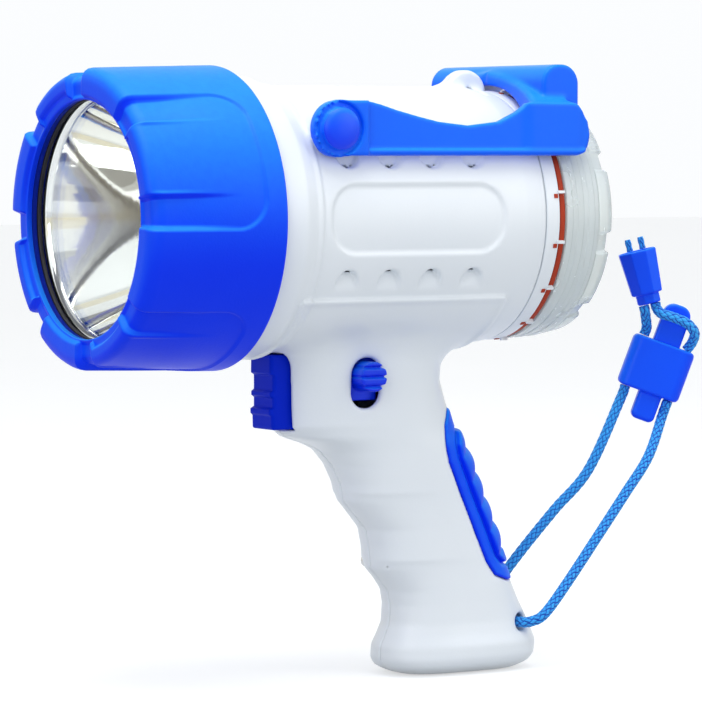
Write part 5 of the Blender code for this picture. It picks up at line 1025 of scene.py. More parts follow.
def stand_field(x, y, z):
    """Carry handle: two arms with flanged lower edges and pivot blocks, a crossbar and an arched web."""
    wide = np.abs(y)
    px, pz = PIVOT_AT
    from_pivot = np.hypot(x - px, z - pz)
    head_top = pz + ARM_HEAD_RADIUS
    rise = ARM_END_TOP_Z - ARM_BOTTOM_Z
    outline = [(px, ARM_BOTTOM_Z + ARM_START_RISE), (px, head_top), (ARM_BLOCK_X, head_top)]
    outline += [(px + ARM_LENGTH * along, ARM_BOTTOM_Z + ARM_HEIGHT * up) for along, up in ARM_TOP_SHARES]
    outline += [(ARM_END_X - rise * short, ARM_BOTTOM_Z + rise * up) for short, up in ARM_END_SHARES]
    outline += [(px, ARM_BOTTOM_Z)]
    side = either(from_pivot - ARM_HEAD_RADIUS, outline_field(x, z, outline), FULL_EDGE)
    face = ARM_OUTER_Y - ARM_FLANGE_PROUD
    arm = both(side, slab(wide, ARM_INNER_Y, face))
    band = slab(z, ARM_BOTTOM_Z, ARM_BOTTOM_Z + ARM_FLANGE_HEIGHT)
    flange = both(both(side, band, FULL_EDGE), slab(wide, ARM_INNER_Y, ARM_OUTER_Y), FULL_EDGE)
    block = both(np.maximum(side, x - ARM_BLOCK_X), slab(wide, ARM_INNER_Y, ARM_OUTER_Y + ARM_BLOCK_PROUD))
    bar = np.maximum(box_field(x, z, BAR_X, (BAR_BOTTOM_Z - BAR_CORNER, BAR_TOP_Z), BAR_CORNER), BAR_BOTTOM_Z - z)
    bar = both(bar, wide - BAR_HALF_LENGTH, BAR_END_ROUND)
    reach = face - WEB_INSET
    rise = WEB_TOP_Z - ARM_END_TOP_Z
    arch = [(0.0, WEB_BOTTOM_Z), (reach, WEB_BOTTOM_Z - WEB_RUN_DOWN), (reach, ARM_END_TOP_Z - WEB_INSET)]
    arch += [(reach * out, ARM_END_TOP_Z + rise * up) for out, up in reversed(WEB_ARCH_SHARES)]
    arch += [(0.0, WEB_TOP_Z)]
    web = both(outline_field(wide, z, arch), slab(x, WEB_FRONT_X, BAR_X[1] - WEB_REAR_SETBACK), WEB_ROUND)
    mouth = np.hypot((x - WEB_MOUTH_X) / WEB_MOUTH_DEPTH, y / WEB_MOUTH_HALF_WIDTH)
    web = without(web, (mouth - 1) * WEB_MOUTH_DEPTH, WEB_MOUTH_ROUND)
    stand = either(either(arm, web, ARM_BLEND), bar, BAR_BLEND)
    stand = np.minimum(either(stand, flange, SOFT_EDGE), block)
    stand = without(stand, np.hypot(y, z) - STAND_CLEARANCE_RADIUS)
    ring = np.abs(from_pivot - PIVOT_CAP_RADIUS - PIVOT_CAP_GROOVE) - PIVOT_CAP_GROOVE
    stand = without(stand, np.maximum(ring, ARM_OUTER_Y - PIVOT_CAP_GROOVE_DEPTH - wide), CRISP_EDGE)
    return without(stand, np.maximum(from_pivot - PIN_HOLE_RADIUS, PIN_INNER_Y - wide), FINE_EDGE)


def strap_field(x, y, z):
    """Rubber backstrap: flange round the rear of the grip, and a ridged pad in a groove of its own."""
    flange = outline_field(x, z, on_grip(STRAP_OUTLINE_SHARES))
    pad_places = on_grip(STRAP_PAD_SHARES)
    pad = outline_field(x, z, pad_places)
    top, bottom = pad_places[0][1], pad_places[-2][1]
    rear = np.interp(z, GRIP_Z, GRIP_COLUMNS[1])
    behind = eased(1 - (rear - x) / STRAP_RIDGE_REACH)
    down = (top - z - (rear - x) * STRAP_RIDGE_SLANT) / (top - bottom) / STRAP_FOOT_SHARE
    wave = np.abs(np.sin(math.pi * STRAP_RIDGES * np.clip(down, 0, 1))) ** 0.5
    wave = np.maximum(wave, STRAP_FOOT_RISE * eased(down * STRAP_FOOT_GAIN - STRAP_FOOT_GAIN))
    proud = STRAP_PAD_PROUD - STRAP_RIDGE_DEPTH * (1 - wave) * behind
    base = grip_field(x, y, z)
    groove = STRAP_GROOVE * np.exp(-((pad - STRAP_GROOVE_OUT) / STRAP_GROOVE_WIDTH) ** 2)
    skin_part = both(base - STRAP_PROUD + groove, flange, FULL_EDGE)
    pad_part = both(base - proud, pad, WIDE_EDGE)
    return without(either(skin_part, pad_part, THIN_EDGE), base + STRAP_DEPTH, THIN_EDGE)


def trigger_field(x, y, z):
    """Trigger: a block whose front steps in and out down its height."""
    low, high = TRIGGER_Z
    rows = np.array(TRIGGER_RIB_SHARES)
    dip = np.interp((high - z) / (high - low), rows[:, 0], rows[:, 1]) * TRIGGER_RIB_SCALE
    half = TRIGGER_HALF_WIDTH
    shape = box_field(x - dip, y, (TRIGGER_X[0], TRIGGER_X[1] + TRIGGER_RUN_ON), (-half, half), TRIGGER_CORNER)
    return both(both(shape, x - TRIGGER_X[1], CRISP_EDGE), slab(z, low, high), FULL_EDGE)


def slider_field(x, y, z):
    """Slide switch: a round knob with cross ridges on a flat plate behind the slot."""
    half_x, half_z = SLIDE_PLATE_HALF
    plate = box_field(x, z, (SLOT_X - half_x, SLOT_X + half_x), (KNOB_Z - half_z, KNOB_Z + half_z), SOFT_EDGE)
    plate = both(plate, slab(y, SLIDE_PLATE_Y - SLIDE_PLATE_THICK, SLIDE_PLATE_Y), FINE_EDGE)
    wave = eased(KNOB_RIDGE_GAIN * np.abs(np.sin(math.pi * (z - KNOB_Z) / KNOB_RIDGE_PITCH)))
    rim = np.hypot(x - SLOT_X, z - KNOB_Z) - KNOB_RADIUS + KNOB_RIM_DIP * (1 - wave)
    face = slab(y, KNOB_FACE_Y + KNOB_RIDGE_DEPTH * (1 - wave), SLIDE_PLATE_Y - NEAT_EDGE)
    return either(plate, both(rim, face, KNOB_ROUND), NEAT_EDGE)


def lock_body_field(x, y, z):
    """Cord lock: a rounded block with a tongue below it and a pocket for its button."""
    low = -LOCK_HALF_HEIGHT
    xs = (-LOCK_HALF_WIDTH, LOCK_HALF_WIDTH)
    body = both(box_field(x, z, xs, (low, LOCK_HALF_HEIGHT), LOCK_ROUND),
                box_field(x, y, xs, (-LOCK_HALF_THICK, LOCK_HALF_THICK), LOCK_SIDE_ROUND), FULL_EDGE)
    tongue = box_field(x, z, TONGUE_X, (low - TONGUE_DROP, low + TONGUE_OVERLAP), LOCK_ROUND)
    body = either(body, both(tongue, np.abs(y) - TONGUE_HALF_THICK, BROAD_EDGE), CRISP_EDGE)
    pocket = np.maximum(np.abs(x - PLUNGER_MIDDLE) - PLUNGER_HALF_WIDTH - GAP, np.abs(y) - PLUNGER_HALF_THICK - GAP)
    return without(body, np.maximum(pocket, POCKET_BOTTOM_Z - z), CRISP_EDGE)


def plunger_field(x, y, z):
    """The cord lock's button, with a round top."""
    corner = PLUNGER_HALF_WIDTH * PLUNGER_ROUND_SHARE
    xs = (PLUNGER_MIDDLE - PLUNGER_HALF_WIDTH, PLUNGER_MIDDLE + PLUNGER_HALF_WIDTH)
    shape = box_field(x, z, xs, (PLUNGER_Z[0] - corner, PLUNGER_Z[1]), corner)
    return both(both(shape, PLUNGER_Z[0] - z, NEAT_EDGE), np.abs(y) - PLUNGER_HALF_THICK, WIDE_EDGE)


def bell_frame():
    """Matrix of the cord-end bell: z along it, from its collar to its mouth."""
    axis = Vector(BELL_AXIS).normalized()
    thick = Vector((0, 1, 0))
    across = thick.cross(axis)
    turn = Matrix((across, thick, axis)).transposed().to_4x4()
    return Matrix.Translation(BELL_MOUTH) @ turn


def bell_field(x, y, z):
    """Cord-end bell: a flat-sided skirt, hollow at its mouth, on a narrow collar."""
    share = np.clip((z - BELL_COLLAR_LENGTH) / (BELL_LENGTH - BELL_COLLAR_LENGTH), 0, 1)
    flat = math.cos(math.pi / BELL_SIDES)
    sides = np.float32(-1)
    for i in range(BELL_SIDES):
        a = 2 * math.pi * i / BELL_SIDES
        sides = np.maximum(sides, x * math.cos(a) + y * math.sin(a))
    half = BELL_HALF[0] + (BELL_HALF[1] - BELL_HALF[0]) * share
    skirt = both(sides - half * flat, slab(z, BELL_COLLAR_LENGTH, BELL_LENGTH))
    collar = both(sides - BELL_COLLAR_HALF * flat, slab(z, 0, BELL_COLLAR_LENGTH + BELL_COLLAR_OVERLAP))
    hollow = np.maximum(sides - half * flat + BELL_WALL, BELL_LENGTH - BELL_HOLLOW_DEPTH - z)
    return without(np.minimum(skirt, collar), hollow, NEAT_EDGE)


def lock_frame():
    """Matrix of the cord lock: x across, y thick, z up."""
    return (Matrix.Translation(LOCK_MIDDLE) @ Matrix.Rotation(LOCK_TURN, 4, "Z")
            @ Matrix.Rotation(LOCK_TILT, 4, "Y"))


def smooth_route(points, step):
    """A curve through the points, read at even steps along its length."""
    pts = [np.array(p, dtype=float) for p in points]
    pts = [2 * pts[0] - pts[1]] + pts + [2 * pts[-1] - pts[-2]]
    fine = []
    for a, b, c, d in zip(pts, pts[1:], pts[2:], pts[3:]):
        for t in np.linspace(0, 1, ROUTE_STEPS, endpoint=False):
            fine.append((2 * b + (c - a) * t + (2 * a - 5 * b + 4 * c - d) * t * t
                         + (3 * b - a - 3 * c + d) * t ** 3) / 2)
    fine = np.array(fine + [pts[-2]])
    run = np.concatenate(([0], np.cumsum(np.linalg.norm(np.diff(fine, axis=0), axis=1))))
    stops = np.linspace(0, run[-1], max(2, int(run[-1] / step)))
    return np.stack([np.interp(stops, run, fine[:, i]) for i in range(3)], 1)


def braided(name, route, radius, sides=CORD_SIDES, strands=BRAID_STRANDS, relief=BRAID_RELIEF):
    """A plaited cord along a route, with its own map: u round it, v along it in plait lengths."""
    run = np.concatenate(([0], np.cumsum(np.linalg.norm(np.diff(route, axis=0), axis=1))))
    ahead = np.gradient(route, axis=0)
    ahead /= np.linalg.norm(ahead, axis=1)[:, None]
    side = np.cross(ahead[0], (0.3, 0.2, 0.9))
    frames = []
    for d in ahead:
        side = side - d * np.dot(side, d)
        side /= np.linalg.norm(side)
        frames.append((side, np.cross(d, side)))
    frames = np.array(frames)
    turns = np.arange(sides) / sides
    v = run / BRAID_PITCH * 2
    right, left = turns[None, :] * strands + v[:, None], turns[None, :] * strands - v[:, None]
    over = np.mod(np.floor(right) + np.floor(left), 2)
    height = np.where(over > 0, np.abs(np.sin(math.pi * left)), np.abs(np.sin(math.pi * right)))
    tall = radius - relief + relief * height
    a = turns * 2 * math.pi
    points = route[:, None, :] + (frames[:, 0][:, None, :] * np.cos(a)[None, :, None]
                                  + frames[:, 1][:, None, :] * np.sin(a)[None, :, None]) * tall[:, :, None]
    count = len(route)
    faces = grid_faces(count, sides, wrap_rows=False)
    points = points.reshape(-1, 3)
    made = piece(name, points, faces[:, ::-1], BLUE_BRAID)
    layer = made.data.uv_layers.new(name="UVMap")
    index = np.zeros(len(made.data.loops), dtype=np.int32)
    made.data.loops.foreach_get("vertex_index", index)
    u, w = turns[index % sides], v[index // sides]
    first = u.reshape(-1, 4).max(1) > 0.9
    u = np.where((np.repeat(first, 4)) & (u < 0.1), u + 1, u)
    layer.data.foreach_set("uv", np.stack([u, w], 1).ravel())
    return mend(made, fill_ends)


def cords():
    """Each strand and its middle line, by the name of the solid that it stands for."""
    lock = lock_frame()
    foot = -LOCK_HALF_HEIGHT - GAP
    up = np.array(lock.to_3x3() @ Vector((0, 0, 1)))
    made = {}
    for name, route, side in (("cord_near", CORD_NEAR_ROUTE, 1), ("cord_far", CORD_FAR_ROUTE, -1)):
        end = np.array(lock @ Vector((side * CHANNEL_OFFSET, 0, foot)))
        line = smooth_route(list(route) + [end - up * CORD_LEAD, end], CORD_STEP)
        made[name] = (braided("braided_" + name, line, CORD_RADIUS), line)
    bell = bell_frame()
    top = LOCK_HALF_HEIGHT + GAP
    for name, side, route in (("cord_link_left", -1, LINK_LEFT_ROUTE), ("cord_link_right", 1, LINK_RIGHT_ROUTE)):
        start = Vector((side * CHANNEL_OFFSET, 0, top))
        into = bell @ Vector((side * (CORD_RADIUS + GAP), 0, -GAP - CORD_RADIUS))
        end = bell @ Vector((side * (CORD_RADIUS + GAP), 0, -GAP))
        line = smooth_route([lock @ Vector(p) for p in (start, *route, into, end)], CORD_STEP)
        made[name] = (braided("braided_" + name, line, CORD_RADIUS), line)
    for name, side in (("cord_tail_left", -1), ("cord_tail_right", 1)):
        ends = [bell @ Vector((side * TAIL_OFFSET, 0, BELL_LENGTH + GAP + TAIL_LENGTH * s)) for s in (0, 1)]
        line = smooth_route([lock @ p for p in ends], CORD_STEP)
        made[name] = (braided("braided_" + name, line, TAIL_RADIUS, TAIL_SIDES, TAIL_STRANDS), line)
    return made


def bezel():
    """Rubber ring: one outline for its lugs, one for its pads and one for its notches, blended round it."""
    def outline(nose_x, nose, foot_r):
        corners = [(0.0, BEZEL_BORE, FINE_EDGE), (0.0, BEZEL_REAR_RADIUS, FULL_EDGE), BEZEL_BELLY, (nose_x, *nose),
                   (nose_x, foot_r, SOFT_EDGE), (BEZEL_MOUTH_X, foot_r - BEZEL_LUG_SLOPE, CRISP_EDGE),
                   (BEZEL_MOUTH_X, BEZEL_MOUTH_RADIUS, BEZEL_MOUTH_ROUND),
                   (BEZEL_LIP_X, BEZEL_MOUTH_RADIUS, FINE_EDGE), (BEZEL_LIP_X, BEZEL_LIP_RADIUS, FINE_EDGE),
                   (BEZEL_SHOULDER_X, BEZEL_BORE, FINE_EDGE)]
        return filled(corners, BEZEL_PARTS)
    lug = outline(BEZEL_NOSE_X, BEZEL_LUG_NOSE, BEZEL_LUG_RADIUS)
    pad = outline(BEZEL_NOSE_X, BEZEL_PAD_NOSE, BEZEL_PAD_LUG_RADIUS)
    notch = outline(BEZEL_NOTCH_X, BEZEL_NOTCH_NOSE, BEZEL_LUG_RADIUS)
    degrees = np.arange(BEZEL_STEPS) * 360.0 / BEZEL_STEPS
    turn = np.mod(degrees - BEZEL_GROOVE_START, BEZEL_REPEAT)
    g, p = BEZEL_GROOVE_SPAN, BEZEL_PAD_SPAN

    def window(a, b):
        return eased((turn - a) / BEZEL_STEP_ANGLE) * eased((b - turn) / BEZEL_STEP_ANGLE)
    groove = window(0, g) + window(g + p, 2 * g + p)
    pad_share = window(g, g + p)
    share = np.stack([np.maximum(1 - groove - pad_share, 0), pad_share, groove], 1)
    share /= share.sum(1)[:, None]
    ring = sum(share[:, i, None, None] * line[None] for i, line in enumerate((lug, pad, notch)))
    x, r = ring[..., 0], ring[..., 1]
    arc_length = (turn[:, None] - (g + p / 2)) * math.radians(1) * BEZEL_PANEL_RADIUS
    half = (2 * g + p) / 2 * math.radians(1) * BEZEL_PANEL_RADIUS
    panel = box_field(x, arc_length, (BEZEL_PANEL_FRONT_X, BEZEL_PANEL_REAR_X), (-half, half), BEZEL_PANEL_CORNER)
    dip = BEZEL_PANEL_DEPTH * eased(0.5 - panel / BEZEL_GROOVE_EDGE / 2)
    fade = eased((BEZEL_GROOVE_FADE_X[1] - x) / (BEZEL_GROOVE_FADE_X[1] - BEZEL_GROOVE_FADE_X[0]))
    dip = dip + BEZEL_GROOVE_DEPTH * groove[:, None] * fade * (panel < 0)
    index = np.arange(len(lug))
    front = int(np.argmin(lug[:, 0]))
    outer = ((index >= ARC_STEPS + 1) & (index < front + ARC_STEPS))[None] & (r > BEZEL_SKIN_RADIUS)
    r = r - np.where(outer, dip * eased((r - BEZEL_SKIN_RADIUS) / BEZEL_SKIN_BLEND), 0)
    return ring_piece("bezel_rubber", x, r, degrees, BLUE_RUBBER)


def rear_cap():
    """Milky cap: shallow ribs round it, and a rear flange with lugs and notches."""
    step = (CAP_FLANGE_X - CAP_X[0]) / (2 * CAP_RIBS)
    dish = CAP_X[1] - CAP_DISH_DEPTH
    dish_r = CAP_REAR_RADIUS - CAP_DISH_INSET
    fall, rise = CAP_RIB_SHARES

    def outline(flange_r, rear_x):
        corners = []
        for i in range(CAP_RIBS):
            r = CAP_RADIUS + (CAP_WAIST_RADIUS - CAP_RADIUS) * i / CAP_RIBS
            at = CAP_X[0] + step * 2 * i
            corners += [(at, r, FINE_EDGE), (at + step, r, THIN_EDGE),
                        (at + step * fall, r - CAP_RIB_STEP, THIN_EDGE),
                        (at + step * rise, r - CAP_RIB_STEP, THIN_EDGE)]
        corners += [(CAP_FLANGE_X, CAP_FLANGE_RADIUS, NEAT_EDGE), (CAP_FLANGE_X, flange_r, NEAT_EDGE),
                    (rear_x, flange_r - WIDE_EDGE, WIDE_EDGE), (rear_x, CAP_REAR_RADIUS - CAP_RIM_WIDTH, SOFT_EDGE),
                    (dish, dish_r, SOFT_EDGE), (dish, 0.0, 0.0), (dish - CAP_WALL, 0.0, 0.0),
                    (dish - CAP_WALL, dish_r, SOFT_EDGE), (CAP_FLANGE_X, CAP_FLANGE_RADIUS - CAP_WALL, SOFT_EDGE),
                    (CAP_X[0], CAP_RADIUS - CAP_WALL - CAP_RIB_STEP, FINE_EDGE)]
        return filled(corners, [3] * len(corners))
    lug = outline(CAP_FLANGE_RADIUS + CAP_LUG_PROUD, CAP_X[1])
    notch = outline(CAP_FLANGE_RADIUS + CAP_NOTCH_PROUD, CAP_X[1] - CAP_NOTCH_DEPTH)
    degrees = np.arange(CAP_STEPS) * 360.0 / CAP_STEPS
    pitch = 360.0 / CAP_NOTCHES
    turn = np.abs(np.mod(degrees - CAP_NOTCH_TURN + pitch / 2, pitch) - pitch / 2)
    share = eased((turn - CAP_NOTCH_ANGLE / 2) / CAP_NOTCH_WALL)[:, None, None]
    ring = lug[None] * share + notch[None] * (1 - share)
    cap = ring_piece("clear_rear_cap", ring[..., 0], np.maximum(ring[..., 1], 0), degrees, CLEAR_PLASTIC)
    return mend(cap, merge_poles)


def ring_of_teeth(ob, count, size, x, radius, turned_by, material):
    """Adds small blocks round the beam axis to a piece, with Geometry Nodes."""
    tree = bpy.data.node_groups.new(ob.name + "_teeth", "GeometryNodeTree")
    for label, kind in (("Geometry", "Geometry"), ("Count", "Int"), ("Size", "Vector"), ("Radius", "Float"),
                        ("Place", "Vector"), ("Turn", "Float"), ("Material", "Material")):
        tree.interface.new_socket(label, in_out="INPUT", socket_type="NodeSocket" + kind)
    tree.interface.new_socket("Geometry", in_out="OUTPUT", socket_type="NodeSocketGeometry")
    given, result = tree.nodes.new("NodeGroupInput"), tree.nodes.new("NodeGroupOutput")
    circle = node(tree, "GeometryNodeMeshCircle", {"Vertices": given.outputs["Count"],
                                                   "Radius": given.outputs["Radius"]})
    spin = node(tree, "ShaderNodeCombineXYZ", {2: given.outputs["Turn"]})
    spun = node(tree, "GeometryNodeTransform", {"Geometry": circle.outputs[0], "Rotation": spin.outputs[0]})
    stood = node(tree, "GeometryNodeTransform", {"Geometry": spun.outputs[0],
                                                 "Rotation": (0, math.pi / 2, 0),
                                                 "Translation": given.outputs["Place"]})
    block = node(tree, "GeometryNodeMeshCube", {"Size": given.outputs["Size"]})
    index = node(tree, "GeometryNodeInputIndex").outputs[0]
    share = math_node(tree, "DIVIDE", index, given.outputs["Count"])
    angle = math_node(tree, "MULTIPLY", share, 2 * math.pi)
    angle = math_node(tree, "ADD", angle, given.outputs["Turn"])
    angle = math_node(tree, "ADD", angle, math.pi / 2)
    turn = node(tree, "ShaderNodeCombineXYZ", {0: angle})
    copies = node(tree, "GeometryNodeInstanceOnPoints", {"Points": stood.outputs[0], "Instance": block.outputs[0],
                                                         "Rotation": turn.outputs[0]})
    joined = node(tree, "GeometryNodeJoinGeometry")
    tree.links.new(copies.outputs[0], joined.inputs[0])
    tree.links.new(given.outputs["Geometry"], joined.inputs[0])
    real = node(tree, "GeometryNodeRealizeInstances", {"Geometry": joined.outputs[0]})
    done = node(tree, "GeometryNodeSetMaterial", {"Geometry": real.outputs[0],
                                                  "Material": given.outputs["Material"]})
    tree.links.new(done.outputs[0], result.inputs[0])
    modifier = ob.modifiers.new("teeth", "NODES")
    modifier.node_group = tree
    named = {item.name: item.identifier for item in tree.interface.items_tree if item.in_out == "INPUT"}
    place = (x + AXIS_PLACE[0], AXIS_PLACE[1], AXIS_PLACE[2])
    for label, value in (("Count", count), ("Size", size), ("Radius", radius), ("Place", place), ("Turn", turned_by),
                         ("Material", material)):
        modifier[named[label]] = value
    return as_mesh(ob)


def as_mesh(ob):
    """The evaluated result in place of the object's mesh, with no modifier left on it."""
    bpy.context.view_layer.update()
    made = bpy.data.meshes.new_from_object(ob.evaluated_get(bpy.context.evaluated_depsgraph_get()))
    ob.modifiers.clear()
    ob.data = made
    return ob


def rear_ring():
    x0, x1 = RING_X
    corners = [(RING_FLOOR_X, 0.0, 0.0), (RING_FLOOR_X, SEAL_BORE, THIN_EDGE), (x1, SEAL_BORE, THIN_EDGE),
               (x1, RING_RADIUS, NEAT_EDGE), (x0, RING_RADIUS, THIN_EDGE), (x0, 0.0, 0.0)]
    ring = turned("rear_ring_white", corners, WHITE_SHELL)
    return ring_of_teeth(ring, TEETH, TOOTH_SIZE, TOOTH_X, RING_RADIUS, TOOTH_TURN, WHITE_SHELL)


def head():
    """Carrier, seal, lens and bowl, by the names of the solids that they stand for."""
    lip = HEAD_FRONT_X + HEAD_LIP
    seat = HEAD_FRONT_X + HEAD_SEAT
    ring = [(HEAD_REAR_X, HEAD_RING_RADIUS, FINE_EDGE), (HEAD_FRONT_X + HEAD_SHOULDER, HEAD_RING_RADIUS, NEAT_EDGE),
            (HEAD_FRONT_X, HEAD_NOSE_RADIUS, FINE_EDGE), (HEAD_FRONT_X, HEAD_LIP_RADIUS, FINE_EDGE),
            (lip, HEAD_LIP_RADIUS, FINE_EDGE), (lip, HEAD_SEAT_RADIUS, HAIR_EDGE),
            (seat, HEAD_SEAT_RADIUS, FINE_EDGE), (seat, HEAD_REAR_BORE, FINE_EDGE),
            (HEAD_REAR_X, HEAD_REAR_BORE, FINE_EDGE)]
    start = lip + GAP
    end = start + GASKET_THICK
    gasket = [(start, LENS_RADIUS, HAIR_EDGE), (end, LENS_RADIUS, HAIR_EDGE), (end, GASKET_BORE, FINE_EDGE),
              (start, GASKET_BORE, FINE_EDGE)]
    face = end + GAP
    back = face + LENS_THICK
    lens = [(back, 0.0, 0.0), (back, LENS_RADIUS, THIN_EDGE), (face, LENS_RADIUS, THIN_EDGE), (face, 0.0, 0.0)]
    mouth = back + GAP
    focal = (BOWL_RIM ** 2 - BOWL_THROAT ** 2) / BOWL_DEPTH
    inner = []
    for i in range(BOWL_STEPS + 1):
        x = mouth + BOWL_DEPTH * (1 - (i / BOWL_STEPS) ** 2)
        inner.append((x, math.sqrt(BOWL_THROAT ** 2 + focal * (mouth + BOWL_DEPTH - x)), 0.0))
    outer = [(x, r + BOWL_WALL, 0.0) for x, r, _ in inner if x > mouth + BOWL_WALL]
    bowl = inner + [(mouth, LENS_RADIUS, FINE_EDGE), (mouth + BOWL_WALL, LENS_RADIUS, FINE_EDGE)] + outer[::-1]
    return {
        "head_ring": turned("head_carrier", ring, NAVY_PLASTIC),
        "lens_gasket": turned("head_gasket", gasket, BLACK_RUBBER),
        "lens": turned("clear_lens", lens, LENS_PLASTIC),
        "reflector": turned("chrome_bowl", bowl, CHROME, arcs=2),
    }


def pivot_caps():
    """A domed cap on each side of the handle."""
    made = {}
    base = ARM_OUTER_Y + ARM_BLOCK_PROUD + GAP
    for tag, side in (("near", -1), ("far", 1)):
        corners = [(side * base, 0.0, 0.0)]
        corners += [(side * (base + out), PIVOT_CAP_RADIUS * share, edge) for out, share, edge in PIVOT_CAP_PROFILE]
        corners += [(side * (base + PIVOT_CAP_DOME), 0.0, 0.0)]
        made["pivot_cap_" + tag] = turned("pivot_dome_" + tag, corners, CAP_PLASTIC, (PIVOT_AT[0], 0, PIVOT_AT[1]),
                                          "y", PIVOT_CAP_STEPS, SOFT_EDGE, 7)
    return made


def seal():
    corners = [(SEAL_X[0], SEAL_RADIUS, NEAT_EDGE), (SEAL_X[1], SEAL_RADIUS, NEAT_EDGE),
               (SEAL_X[1], SEAL_BORE, THIN_EDGE), (SEAL_X[0], SEAL_BORE, THIN_EDGE)]
    ring = turned("red_rear_seal", corners, RED_SEAL)
    return ring_of_teeth(ring, TEETH, TAB_SIZE, TAB_X, TAB_RADIUS, TAB_TURN, RED_SEAL)


def area_light(name, place, size, power):
    data = bpy.data.lights.new(name, "AREA")
    data.shape = "RECTANGLE"
    data.size, data.size_y = size
    data.energy = power
    ob = link(bpy.data.objects.new(name, data))
    ob.location = place
    ob.rotation_euler = (Vector(place) - Vector(LIGHT_AIM)).to_track_quat("Z", "Y").to_euler()


def studio():
    """Pale floor, soft boxes and a sky that mirrors see in bands."""
    floor, tree, shader = plain_material("pale_floor", Roughness=0.8)
    place = node(tree, "ShaderNodeTexCoord").outputs["Object"]
    tone = node(tree, "ShaderNodeMix", {0: noise(tree, place, 3.0), 6: FLOOR_TONES[0], 7: FLOOR_TONES[1]},
                data_type="RGBA")
    tree.links.new(tone.outputs[2], shader.inputs["Base Color"])
    rays = node(tree, "ShaderNodeLightPath")
    seen = math_node(tree, "MULTIPLY", rays.outputs["Is Camera Ray"], FLOOR_GLOW)
    seen = math_node(tree, "MULTIPLY_ADD", rays.outputs["Is Glossy Ray"], FLOOR_MIRRORED, seen)
    shader.inputs["Emission Color"].default_value = FLOOR_TINT
    tree.links.new(seen, shader.inputs["Emission Strength"])
    h = FLOOR_HALF
    ground = piece("studio_floor", [(-h, -h, 0), (h, -h, 0), (h, h, 0), (-h, h, 0)], [(0, 1, 2, 3)], floor)
    for vertex in ground.data.vertices:
        vertex.co.z = -FLOOR_DROP
    world = bpy.data.worlds.new("studio_world")
    bpy.context.scene.world = world
    world.use_nodes = True
    sky = world.node_tree
    towards = node(sky, "ShaderNodeSeparateXYZ", {0: node(sky, "ShaderNodeNewGeometry").outputs["Incoming"]})
    height = math_node(sky, "MULTIPLY", towards.outputs[2], -1.0)
    lit = math_node(sky, "MULTIPLY_ADD", ramp(sky, height, *SKY_RANGE), SKY_RISE, SKY_LOW)
    rays = node(sky, "ShaderNodeLightPath")
    mirrored = MIRRORED_BASE
    for low, high, change in MIRRORED_STEPS:
        mirrored = math_node(sky, "MULTIPLY_ADD", ramp(sky, height, low, high), change, mirrored)
    strength = node(sky, "ShaderNodeMix", {0: rays.outputs["Is Glossy Ray"], 2: lit, 3: mirrored},
                    data_type="FLOAT").outputs[0]
    strength = node(sky, "ShaderNodeMix", {0: rays.outputs["Is Camera Ray"], 2: strength, 3: SKY_SEEN},
                    data_type="FLOAT").outputs[0]
    low = math_node(sky, "SUBTRACT", rays.outputs["Is Glossy Ray"], ramp(sky, height, *LOW_RANGE))
    tint = node(sky, "ShaderNodeMix", {0: low, 6: SKY_TINT, 7: LOW_TINT}, data_type="RGBA").outputs[2]
    sky.links.new(tint, sky.nodes["Background"].inputs[0])
    sky.links.new(strength, sky.nodes["Background"].inputs[1])
    for box in SOFTBOXES:
        area_light(*box)
    view = bpy.context.scene.view_settings
    view.view_transform = "Standard"
    view.look = "None"


def set_material(name, material):
    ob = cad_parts[name]
    ob.data.materials.clear()
    ob.data.materials.append(material)


def dress(made, node_name, body):
    """A piece stands for a CAD node and moves with its body."""
    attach(made, body)
    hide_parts(node_name)


def skinned(name, field, low, high, cell, finish, stands_for, body, slot, place=None):
    """A moulded piece, dressed as the solid that it stands for."""
    made = skin(name, field, low, high, cell, finish, place)
    dress(made, stands_for, body)
    return made


camera()
studio()
strands = cords()
for name, (made, line) in strands.items():
    dress(made, name, "housing")

LOCK = lock_frame()
lock_body = skinned("lock_shell", lock_body_field,
                    (-LOCK_HALF_WIDTH, -LOCK_HALF_THICK, -LOCK_HALF_HEIGHT - TONGUE_DROP),
                    (LOCK_HALF_WIDTH, LOCK_HALF_THICK, LOCK_HALF_HEIGHT), SMALL_CELL, LOCK_PLASTIC,
                    "cord_lock_body", "housing", "lock_plastic", LOCK)
reach = PLUNGER_HALF_WIDTH + PLUNGER_MIDDLE
skinned("lock_button", plunger_field, (-reach, -PLUNGER_HALF_THICK, PLUNGER_Z[0]),
        (reach, PLUNGER_HALF_THICK, PLUNGER_Z[1]), SMALL_CELL, LOCK_PLASTIC,
        "cord_lock_plunger", "cord_lock_plunger", "lock_plastic", LOCK)
half = BELL_HALF[1]
bell = skinned("cord_end_bell", bell_field, (-half, -half, 0), (half, half, BELL_LENGTH), SMALL_CELL, LOCK_PLASTIC,
               "cord_bell", "housing", "lock_plastic", LOCK @ bell_frame())
companions = {"cord_near": [lock_body, bell, strands["cord_link_right"][0], strands["cord_tail_right"][0]],
              "cord_far": [strands["cord_link_left"][0], strands["cord_tail_left"][0]]}
for name, pieces_on in companions.items():
    made, line = strands[name]
    line = line + AXIS_PLACE

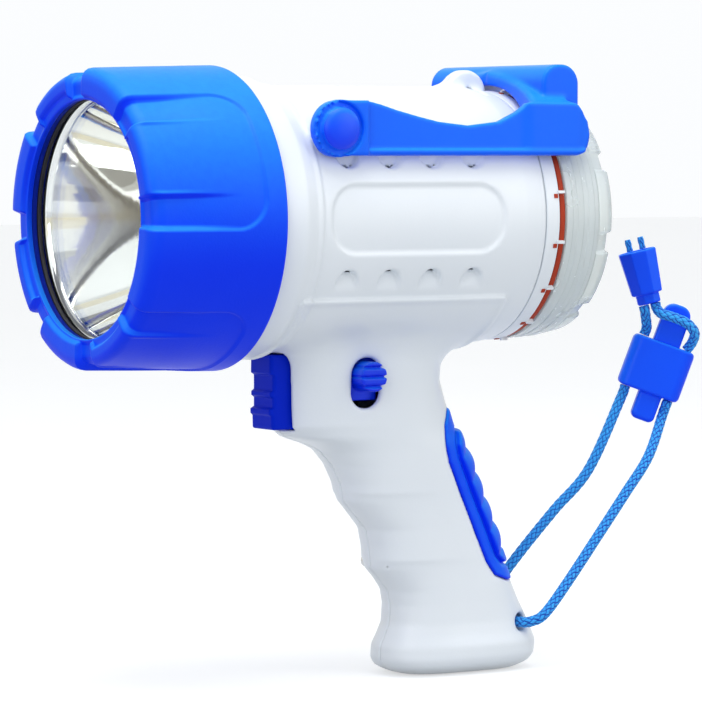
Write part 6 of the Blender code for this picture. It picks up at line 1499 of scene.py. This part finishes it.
skinned("shell_near", near_half, SHELL_LOW, SHELL_HIGH, HOUSING_CELL, WHITE_SHELL,
        "housing_near", "housing", "white_shell")
skinned("shell_far", far_half, (SHELL_LOW[0], 0.0, SHELL_LOW[2]), (SHELL_HIGH[0], -SHELL_LOW[1], SHELL_HIGH[2]),
        HOUSING_CELL, WHITE_SHELL, "housing_far", "housing", "white_shell")
dress(bezel(), "bezel", "housing")
for name, made in head().items():
    dress(made, name, "housing")
skinned("carry_stand", stand_field, *STAND_BOX, STAND_CELL, BLUE_PLASTIC, "stand", "stand", "blue_plastic")
for name, made in pivot_caps().items():
    dress(made, name, "stand")
skinned("grip_backstrap", strap_field, *STRAP_BOX, STRAP_CELL, BLUE_RUBBER, "backstrap", "housing", "blue_rubber")
skinned("finger_trigger", trigger_field, (TRIGGER_X[0] - TRIGGER_MARGIN, -TRIGGER_HALF_WIDTH, TRIGGER_Z[0]),
        (TRIGGER_X[1], TRIGGER_HALF_WIDTH, TRIGGER_Z[1]), SMALL_CELL, DARK_BLUE, "trigger", "trigger", "blue_plastic")
skinned("slide_knob", slider_field, *KNOB_BOX, SMALL_CELL, KNOB_PLASTIC, "lock_slider", "lock_slider", "blue_plastic")
dress(rear_ring(), "rear_ring", "housing")
dress(seal(), "rear_seal", "housing")
dress(rear_cap(), "rear_cap", "rear_cap")

for names, finish in (
        (("led_emitter", "charge_lamp"), PHOSPHOR),
        (("led_board", "heat_sink"), ALUMINIUM),
        (("driver_board",), CIRCUIT_BOARD),
        (("driver_capacitor", "trigger_spring", "cord_lock_spring", "pivot_pin_near", "pivot_pin_far"), STEEL),
        (tuple(f"housing_screw_{i + 1}" for i in range(5)), STEEL),
        (("driver_coil", "trigger_switch", "charge_socket"), BLACK_PLASTIC),
        (("slide_switch",), DARK_BLUE),
        (("led_wire", "cell_wire"), WIRE_SLEEVE),
        (("cell_front", "cell_rear"), CELL_WRAP),
        (("contact_top", "contact_bottom"), BRASS)):
    for name in names:
        set_material(name, finish)
